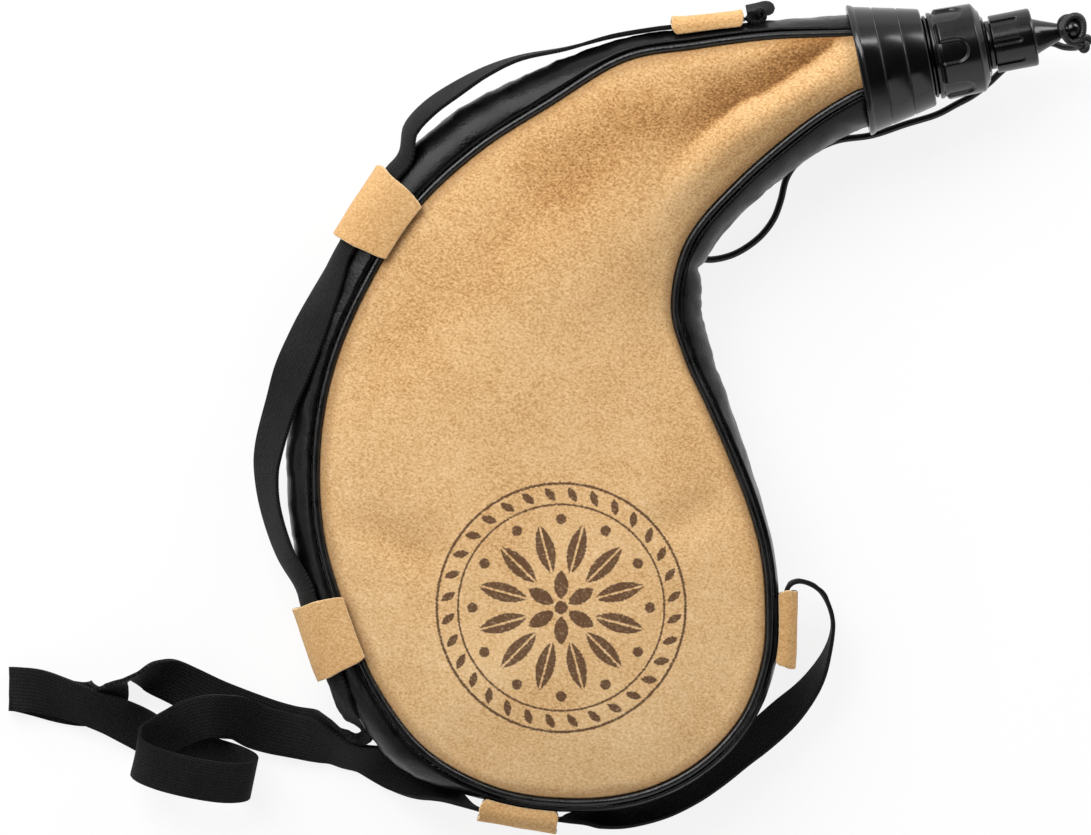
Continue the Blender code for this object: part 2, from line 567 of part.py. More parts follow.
def turned(collection, name, profile, material, parent, closed=True):
    # A profile of radius and height, down the outer side first, turned round the mouthpiece's axis.
    mesh = bpy.data.meshes.new(name)
    vertices = [(radius, 0.0, height) for radius, height in profile]
    edges = [(index, index + 1) for index in range(len(vertices) - 1)]
    if closed:
        edges.append((len(vertices) - 1, 0))
    mesh.from_pydata(vertices, edges, [])
    item = put(collection, name, mesh, material, parent)
    screw = item.modifiers.new("turn", "SCREW")
    screw.steps = TURN_STEPS
    screw.render_steps = TURN_STEPS
    screw.use_merge_vertices = True
    screw.merge_threshold = GAP / 10
    screw.use_smooth_shade = True
    return item


def cut(item, cutter, operation="DIFFERENCE"):
    boolean = item.modifiers.new(operation.lower(), "BOOLEAN")
    boolean.operation = operation
    boolean.object = cutter


def pocket_cutter(collection, name, parent, count, width, radius, depth, bottom, top):
    # Pockets round a cap, open at the bottom and round at the top.
    shape = bmesh.new()
    half = width / 2
    outline = [(-half, bottom), (half, bottom)]
    for step in range(ARC_STEPS + 1):
        angle = math.pi * step / ARC_STEPS
        outline.append((half * math.cos(angle), top - half + half * math.sin(angle)))
    for index in range(count):
        turn = Matrix.Rotation(2 * math.pi * index / count, 3, "Z")
        ring = [shape.verts.new(turn @ Vector((radius - depth, side, height))) for side, height in outline]
        face = shape.faces.new(ring)
        block = bmesh.ops.extrude_face_region(shape, geom=[face])
        moved = [part for part in block["geom"] if isinstance(part, bmesh.types.BMVert)]
        bmesh.ops.translate(shape, verts=moved, vec=turn @ Vector((depth + OVERRUN, 0.0, 0.0)))
    bmesh.ops.recalc_face_normals(shape, faces=shape.faces)
    mesh = bpy.data.meshes.new(name)
    shape.to_mesh(mesh)
    shape.free()
    return hide(put(collection, name, mesh, None, parent))


def hide(item):
    item.hide_render = True
    item.display_type = "WIRE"
    return item


def build_leather(parts, rows, suede, gloss, film):
    places = np.linspace(0.0, len(rows) - 3.0, STATION_STEPS + 1)
    stations = [Station(rows, place) for place in places]
    front = [[station.panel(share, 1) for share in PANEL_SHARES] for station in stations]
    back = [[station.panel(share, -1) for share in reversed(PANEL_SHARES)] for station in stations]
    thicken(sheet(parts, "front_panel", front, suede), SUEDE, -1)
    thicken(sheet(parts, "back_panel", back, suede), SUEDE, -1)
    strip = [
        [station.strip(2 * row / GUSSET_ROWS - 1) for row in range(GUSSET_ROWS + 1)]
        for station in stations
    ]
    thicken(sheet(parts, "side_gusset", strip, gloss), GUSSET_WALL, 1)
    for name, side in (("front_piping", 1), ("back_piping", -1)):
        line = [station.point(0.0, side * station.half) for station in stations]
        tube(parts, name, line, PIPING_RADIUS, gloss)
    build_liner(parts, stations, film)


def liner_round(middle, outward, radius):
    points = []
    for row in range(liner_rows + 1):
        angle = math.pi * (row / liner_rows - 0.5)
        points.append(middle + outward * radius * math.cos(angle) + Vector((0, 0, radius * math.sin(angle))))
    return points


def build_liner(parts, stations, film):
    # The liner follows the leather inside, and closes to a round neck on the neck tube.
    inset = SUEDE + 2 * LINER_PLAY
    under_seam = PIPING_RADIUS + 2 * LINER_PLAY
    columns = []
    for index, station in enumerate(stations):
        front = [station.panel(share, 1, inset) for share in PANEL_SHARES[1:]]
        back = [station.panel(share, -1, inset) for share in reversed(PANEL_SHARES[1:])]
        side = [station.point(0.0, -station.half + under_seam)]
        side += [station.strip(share, LINER_PLAY) for share in (-0.5, 0.0, 0.5)]
        side += [station.point(0.0, station.half - under_seam)]
        shaped = back + side + front
        from_end = min(index, len(stations) - 1 - index)
        blend = max(0.0, 1 - from_end / 3)
        middle = station.middle + Vector((0.0, 0.0, station.height))
        ring = liner_round(middle, station.outward, liner_radius)
        columns.append([place.lerp(target, blend) for place, target in zip(shaped, ring)])
    neck = []
    for row in range(LINER_NECK_ROWS, 0, -1):
        rise = axis * (TUCK + LINER_NECK * row / LINER_NECK_ROWS)
        neck.append(neck_point + rise)
    upper = [liner_round(middle, across, liner_radius) for middle in neck]
    lower = [liner_round(middle, -across, liner_radius) for middle in reversed(neck)]
    thicken(sheet(parts, "bladder", upper + columns + lower, film), LINER_WALL, -1)


def build_loops(parts, rows, suede):
    for name, place, over_seams, room in LOOPS:
        spacing = Station(rows, place).spacing
        columns = []
        for column in range(LOOP_COLUMNS + 1):
            along = LOOP_WIDTH * (column / LOOP_COLUMNS - 0.5) / spacing
            station = Station(rows, place + along)
            if over_seams:
                start = GAP - station.lean
                half = station.half + seam_offset
                power = SEAM_LOOP_POWER
            else:
                start = station.outside(SMALL_LOOP_HALF) + GAP
                half = SMALL_LOOP_HALF
                power = SMALL_LOOP_POWER
            reach = station.outside() + room - start
            column_points = []
            for row in range(LOOP_ROWS + 1):
                angle = math.pi * (row / LOOP_ROWS - 0.5)
                out = abs(math.cos(angle)) ** (2 / power) if abs(angle) < math.pi / 2 else 0.0
                up = math.copysign(abs(math.sin(angle)) ** (2 / power), angle)
                column_points.append(station.point(start + reach * out, half * up))
            columns.append(column_points)
        thicken(sheet(parts, name, columns, suede), LOOP_LEATHER, 1)


def stretch_places(points, first, last):
    # Places from one point of a route to another, after a small gap where a stretch ends before it.
    start = float(first)
    if first:
        start += GAP / Vector(curve_point(points, start)[1]).length
    return np.linspace(start, last, (last - first) * ROUTE_STEPS + 1)


def build_strap(parts, webbing):
    middles = np.array([middle for middle, width, bend in STRAP_ROUTE])
    widths = np.array([width for middle, width, bend in STRAP_ROUTE])
    bends = np.array([[bend] for middle, width, bend in STRAP_ROUTE])
    for name, first, last in STRAP_STRETCHES:
        columns = []
        for place in stretch_places(middles, first, last):
            middle, slope = curve_point(middles, place)
            along = Vector(slope).normalized()
            width = Vector(curve_point(widths, place)[0])
            width = (width - along * width.dot(along)).normalized() * (STRAP_WIDTH / 2)
            back = along.cross(width).normalized() * -curve_point(bends, place)[0][0]
            middle = Vector(middle)
            columns.append([middle - width + back, middle, middle + width + back])
        thicken(sheet(parts, name, columns, webbing), STRAP_THICKNESS, 0)
    start, slope = curve_point(middles, 0.0)
    along = -Vector(slope).normalized()
    bpy.ops.mesh.primitive_cube_add(size=1.0)
    block = bpy.context.active_object
    block.name = "strap_end"
    for collection in block.users_collection:
        collection.objects.unlink(block)
    parts.objects.link(block)
    block.data.transform(Matrix.Diagonal((STRAP_END_LENGTH, STRAP_END_DEPTH, STRAP_WIDTH, 1.0)))
    block.data.materials.append(webbing)
    block.rotation_euler = Euler((0.0, 0.0, math.atan2(along.y, along.x)))
    off = Vector((-along.y, along.x, 0.0)) * STRAP_END_SET
    block.location = Vector(start) + along * (STRAP_END_LENGTH / 2 + GAP) + off
    rounding = block.modifiers.new("round", "BEVEL")
    rounding.width = STRAP_END_ROUND
    rounding.segments = 2


def build_tether(parts, cord):
    route = np.array(TETHER_ROUTE)
    for name, first, last in TETHER_STRETCHES:
        places = stretch_places(route, first, last)
        tube(parts, name, [curve_point(route, place)[0] for place in places], CORD_RADIUS, cord)


def build_collar(parts, frame, black):
    profile = [(collar_top_radius - COLLAR_EDGE, COLLAR_LENGTH),
               (collar_top_radius, COLLAR_LENGTH - COLLAR_EDGE)]
    for share in reversed(GROOVE_SHARES):
        middle = share * COLLAR_LENGTH
        for height, depth in ((GROOVE_WIDTH / 2, 0.0), (0.0, GROOVE_DEPTH), (-GROOVE_WIDTH / 2, 0.0)):
            profile.append((collar_radius(middle + height) - depth, middle + height))
    profile += [
        (collar_radius(LIP_WIDTH), LIP_WIDTH),
        (collar_radius(LIP_WIDTH) + LIP_HEIGHT, LIP_WIDTH - LIP_HEIGHT),
        (collar_wide_radius + LIP_HEIGHT, LIP_HEIGHT),
        (collar_wide_radius, 0.0),
        (collar_wide_radius - COLLAR_WALL, 0.0),
        (collar_radius(shelf) - COLLAR_WALL, shelf),
        ((TUBE_RADIUS + GAP) / facet, shelf),
        ((TUBE_RADIUS + GAP) / facet, COLLAR_LENGTH),
    ]
    turned(parts, "neck_collar", profile, black, frame)


def build_neck(parts, frame, black, steel):
    flange_top = shelf - GAP
    profile = [
        (TUBE_RADIUS, tube_top),
        (TUBE_RADIUS, bead_bottom + BEAD_WIDTH),
        (bead_radius, bead_bottom + BEAD_WIDTH * 3 / 4),
        (bead_radius, bead_bottom + BEAD_WIDTH / 4),
        (TUBE_RADIUS, bead_bottom),
        (TUBE_RADIUS, flange_top),
        (TUBE_RADIUS + TUBE_FLANGE, flange_top),
        (TUBE_RADIUS + TUBE_FLANGE, flange_top - TUBE_FLANGE),
        (TUBE_RADIUS, flange_top - TUBE_FLANGE),
        (TUBE_RADIUS, TUBE_TAIL),
        (TUBE_RADIUS - TUBE_WALL, TUBE_TAIL),
        (TUBE_RADIUS - TUBE_WALL, tube_top),
    ]
    turned(parts, "neck_tube", profile, black, frame)
    inner = (liner_radius + GAP) / facet
    top = TUCK + LINER_NECK - GAP
    profile = [
        (inner + CLAMP_WALL, top),
        (inner + CLAMP_WALL, top - CLAMP_WIDTH),
        (inner, top - CLAMP_WIDTH),
        (inner, top),
    ]
    turned(parts, "clamp_ring", profile, steel, frame)


def build_fill_cap(parts, cutters, frame, black, rubber):
    bore = (TUBE_RADIUS + TURN_CLEARANCE) / facet
    skirt_top = fill_cap_bottom + FILL_SKIRT_WIDTH
    body_bottom = skirt_top + FILL_SKIRT_GROOVE
    end_radius = fill_cap_radius - FILL_CAP_TAPER
    step_height = shoulder + SHOULDER_RISE / 2
    step_radius = (end_radius + SHOULDER_RADIUS) / 2
    hole = (SPOUT_RADIUS + GAP) / facet
    profile = [
        (SHOULDER_RADIUS - SHOULDER_STEP, fill_cap_top),
        (SHOULDER_RADIUS, fill_cap_top - SHOULDER_STEP),
        (step_radius - SHOULDER_STEP, step_height + SHOULDER_STEP / 2),
        (step_radius, step_height - SHOULDER_STEP / 2),
        (end_radius - FILL_EDGE, shoulder),
        (end_radius, shoulder - FILL_EDGE),
        (fill_cap_radius, body_bottom + FILL_EDGE),
        (fill_cap_radius - FILL_EDGE, body_bottom),
        (fill_skirt_radius - FILL_EDGE, skirt_top),
        (fill_skirt_radius, skirt_top - FILL_EDGE),
        (fill_skirt_radius, fill_cap_bottom),
        (bore, fill_cap_bottom),
        (bore, fill_cap_ceiling),
        (hole, fill_cap_ceiling),
        (hole, fill_cap_top),
    ]
    cap = turned(parts, "fill_cap", profile, black, frame)
    flutes = pocket_cutter(cutters, "flutes", frame, FLUTE_COUNT, FLUTE_WIDTH, fill_cap_radius,
                           FLUTE_DEPTH, body_bottom - FILL_SKIRT_GROOVE / 2, shoulder - FLUTE_END)
    cut(cap, flutes)
    outer = TUBE_RADIUS
    inner = outer - FILL_SEAL_WIDTH
    profile = [(outer, fill_seal_bottom + FILL_SEAL), (outer, fill_seal_bottom),
               (inner, fill_seal_bottom), (inner, fill_seal_bottom + FILL_SEAL)]
    turned(parts, "fill_seal", profile, rubber, frame)


def build_spout(parts, frame, black):
    ring_bottom = fill_cap_top + GAP
    bore = SPOUT_STUB_RADIUS - SPOUT_WALL
    jet_bottom = stub_top + TIP_LENGTH - JET_LENGTH
    profile = [
        (TIP_RADIUS, stub_top + TIP_LENGTH),
        (TIP_RADIUS, stub_top),
        (SPOUT_STUB_RADIUS, stub_top),
        (SPOUT_STUB_RADIUS, stub_bottom),
        (SPOUT_RING_RADIUS, stub_bottom),
        (SPOUT_RING_RADIUS, ring_bottom),
        (SPOUT_RADIUS, ring_bottom),
        (SPOUT_RADIUS, spout_bottom + SPOUT_FLANGE),
        (TUBE_RADIUS, spout_bottom + SPOUT_FLANGE),
        (TUBE_RADIUS, spout_bottom),
        (bore, spout_bottom),
        (bore, jet_bottom),
        (JET_RADIUS, jet_bottom),
        (JET_RADIUS, stub_top + TIP_LENGTH),
    ]
    turned(parts, "spout", profile, black, frame)


def build_small_cap(parts, cutters, frame, black, rubber):
    bore = (SPOUT_STUB_RADIUS + TURN_CLEARANCE) / facet
    pocket = (TIP_RADIUS + TURN_CLEARANCE) / facet
    profile = [(0.0, knob + KNOB_RADIUS)]
    end = math.pi - math.asin(WAIST_RADIUS / KNOB_RADIUS)
    for step in range(1, ARC_STEPS):
        angle = end * step / ARC_STEPS
        profile.append((KNOB_RADIUS * math.sin(angle), knob + KNOB_RADIUS * math.cos(angle)))
    profile += [(WAIST_RADIUS, waist + WAIST_LENGTH), (WAIST_RADIUS, waist)]
    for radius, length in reversed(CONE_SHARES):
        profile.append((CONE_RADIUS * radius, waist - CONE_LENGTH * (1 - length)))
    profile += [
        (SMALL_CAP_RADIUS - SMALL_CAP_EDGE, small_cap_top),
        (SMALL_CAP_RADIUS, small_cap_top - SMALL_CAP_EDGE),
        (SMALL_CAP_RADIUS, small_cap_bottom),
        (bore, small_cap_bottom),
        (bore, small_cap_ceiling),
        (pocket, small_cap_ceiling),
        (pocket, tip_pocket_top),
        (0.0, tip_pocket_top),
    ]
    cap = turned(parts, "drinking_cap", profile, black, frame, closed=False)
    slots = pocket_cutter(cutters, "slots", frame, SLOT_COUNT, SLOT_WIDTH, SMALL_CAP_RADIUS,
                          SLOT_DEPTH, small_cap_bottom - OVERRUN, small_cap_top - SLOT_END)
    cut(cap, slots)
    outer = SPOUT_STUB_RADIUS
    inner = (TIP_RADIUS + GAP) / facet
    profile = [(outer, small_seal_bottom + SMALL_SEAL), (outer, small_seal_bottom),
               (inner, small_seal_bottom), (inner, small_seal_bottom + SMALL_SEAL)]
    turned(parts, "drinking_seal", profile, rubber, frame)


def build_knot(parts, cutters, frame, cord):
    # A turn of cord round the waist behind the knob, with its knot beside the knob.
    ring_height = waist + WAIST_LENGTH / 2
    ring_radius = WAIST_RADIUS / facet + GAP + CORD_RADIUS
    bpy.ops.mesh.primitive_torus_add(major_radius=ring_radius, minor_radius=CORD_RADIUS,
                                     major_segments=TURN_STEPS, minor_segments=8)
    ring = take(parts, "tether_knot", frame, Vector((0.0, 0.0, ring_height)), cord)
    knot_place = Vector((0.0, -KNOT_OFFSET, knob + KNOT_AHEAD))
    bpy.ops.mesh.primitive_uv_sphere_add(radius=KNOT_RADIUS, segments=12, ring_count=8)
    ball = hide(take(cutters, "knot_ball", frame, knot_place))
    start = Vector((0.0, -ring_radius, ring_height))
    link = knot_place - start
    bpy.ops.mesh.primitive_cylinder_add(radius=CORD_RADIUS, depth=link.length, vertices=8)
    stem = hide(take(cutters, "knot_stem", frame, (start + knot_place) / 2))
    stem.rotation_euler = link.to_track_quat("Z", "Y").to_euler()
    cut(ring, stem, "UNION")
    cut(ring, ball, "UNION")


def take(collection, name, parent, location, material=None):
    # The primitive just added, moved to its collection and hung on the mouthpiece's axis.
    item = bpy.context.active_object
    item.name = name
    for holder in item.users_collection:
        holder.objects.unlink(item)
    collection.objects.link(item)
    item.parent = parent
    item.location = location
    item.data.shade_smooth()
    if material:
        item.data.materials.append(material)
    return item


def build():
    clear_scene()
    parts = new_collection("drinking_bag")
    cutters = new_collection("cutters")
    suede = new_material("suede", (0.62, 0.41, 0.21), 0.95)
    gloss = new_material("coated_cloth", (0.012, 0.012, 0.013), 0.28)
    film = new_material("liner_film", (0.55, 0.55, 0.52), 0.4)
    black = new_material("moulded_plastic", (0.014, 0.014, 0.015), 0.32)
    steel = new_material("clamp_steel", (0.62, 0.62, 0.60), 0.35, 1.0)
    rubber = new_material("washer_rubber", (0.05, 0.05, 0.05), 0.7)
    webbing = new_material("woven_tape", (0.014, 0.014, 0.014), 0.85)
    cord = new_material("braided_cord", (0.013, 0.013, 0.013), 0.6)

    frame = bpy.data.objects.new("mouthpiece_axis", None)
    parts.objects.link(frame)
    frame.location = neck_point
    frame.rotation_euler = Euler((0.0, math.pi / 2, NECK_ANGLE))

    rows = outline_rows()
    build_leather(parts, rows, suede, gloss, film)
    build_loops(parts, rows, suede)
    build_collar(parts, frame, black)
    build_neck(parts, frame, black, steel)
    build_fill_cap(parts, cutters, frame, black, rubber)
    build_spout(parts, frame, black)
    build_small_cap(parts, cutters, frame, black, rubber)
    build_knot(parts, cutters, frame, cord)
    build_strap(parts, webbing)
    build_tether(parts, cord)


build()
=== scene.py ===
# A leather drinking bag on its back: suede faces, glossy side strip, belt loops, strap, mouthpiece and cord
import math

import bmesh
import bpy
import numpy as np
from mathutils import Matrix, Vector, noise


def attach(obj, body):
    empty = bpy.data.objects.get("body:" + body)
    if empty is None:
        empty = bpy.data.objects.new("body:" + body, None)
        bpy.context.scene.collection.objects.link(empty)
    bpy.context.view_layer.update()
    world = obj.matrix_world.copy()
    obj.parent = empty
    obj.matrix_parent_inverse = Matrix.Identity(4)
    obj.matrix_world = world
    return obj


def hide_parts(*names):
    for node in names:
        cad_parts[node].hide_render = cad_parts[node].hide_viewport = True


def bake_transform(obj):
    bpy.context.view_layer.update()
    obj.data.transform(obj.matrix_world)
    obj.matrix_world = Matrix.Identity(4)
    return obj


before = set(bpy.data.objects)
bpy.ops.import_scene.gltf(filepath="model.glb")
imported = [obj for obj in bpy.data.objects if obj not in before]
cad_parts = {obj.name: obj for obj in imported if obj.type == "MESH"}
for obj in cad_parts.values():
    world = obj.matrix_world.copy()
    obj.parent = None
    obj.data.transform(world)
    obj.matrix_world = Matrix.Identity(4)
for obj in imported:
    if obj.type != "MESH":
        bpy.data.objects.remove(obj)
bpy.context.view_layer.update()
print("frame loaded,", len(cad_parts), "solids")

# Camera straight above, far off with a long lens, so that heights hardly shift; its width holds at mid-height
photo = {"middle": (-0.05202, 0.0009), "width": 0.39276, "scaleHeight": 0.024, "lens": 400.0, "sensor": 36.0,
         "clip": 100.0}
camera = bpy.data.objects.new("camera", bpy.data.cameras.new("camera"))
bpy.context.scene.collection.objects.link(camera)
camera.data.lens = photo["lens"]
camera.data.sensor_width = photo["sensor"]
camera.data.clip_end = photo["clip"]
camera.location = (*photo["middle"], photo["width"] * photo["lens"] / photo["sensor"] + photo["scaleHeight"])
bpy.context.scene.camera = camera


def srgb(code):
    channels = [int(code[place:place + 2], 16) / 255 for place in (1, 3, 5)]
    return [c / 12.92 if c <= 0.04045 else ((c + 0.055) / 1.055) ** 2.4 for c in channels] + [1.0]


def feed(owner, sockets, node="Principled BSDF"):
    # Feeds a node's sockets with values or links; a list goes to its first sockets
    node = owner.node_tree.nodes[node]
    for socket, value in sockets.items() if isinstance(sockets, dict) else enumerate(sockets):
        if isinstance(value, bpy.types.NodeSocket):
            owner.node_tree.links.new(value, node.inputs[socket])
        else:
            node.inputs[socket].default_value = value


def addNode(owner, kind, sockets=(), stops=(), **settings):
    # Adds a node with its settings, sockets and colour stops, and gives its outputs
    node = owner.node_tree.nodes.new("ShaderNode" + kind)
    for name, value in settings.items():
        setattr(node, name, value)
    feed(owner, sockets, node.name)
    if stops:
        elements = node.color_ramp.elements
        while len(elements) < len(stops):
            elements.new(1.0)
        for element, (place, colour) in zip(elements, stops):
            element.position = place
            element.color = srgb(colour)
    return node.outputs


def newMaterial(name, colour, roughness, sockets=()):
    material = bpy.data.materials.new(name)
    material.use_nodes = True
    feed(material, {"Base Color": srgb(colour), "Roughness": roughness, **dict(sockets)})
    return material


def plainFinish(finish):
    # One noise gives the tone, the shine and the relief, with a finer skin over it where the finish has one
    material = newMaterial(finish["name"], finish["colour"], finish["roughness"], finish.get("sockets", ()))
    place = addNode(material, "TexCoord")["Object"]
    flow = addNode(material, "TexNoise", {"Vector": place, "Scale": 1 / finish["size"],
                                          **finish["noise"]})["Fac"]
    if "stops" in finish:
        feed(material, {"Base Color": addNode(material, "ValToRGB", [flow], finish["stops"])["Color"]})
    if "shine" in finish:
        feed(material, {"Roughness": addNode(material, "MapRange", [flow, *finish["shine"]])["Result"]})
    if "relief" in finish:
        height = flow
        if "skin" in finish:
            kind, output, size, settings = finish["skin"]
            skin = addNode(material, kind, {"Vector": place, "Scale": 1 / size}, **settings)[output]
            height = addNode(material, "Math", [flow, finish["flowShare"], skin],
                             operation="MULTIPLY_ADD")["Value"]
        strength, depth = finish["relief"]
        bump = addNode(material, "Bump", {"Height": height, "Strength": strength,
                                          "Distance": depth})["Normal"]
        feed(material, {"Normal": bump})
    return material


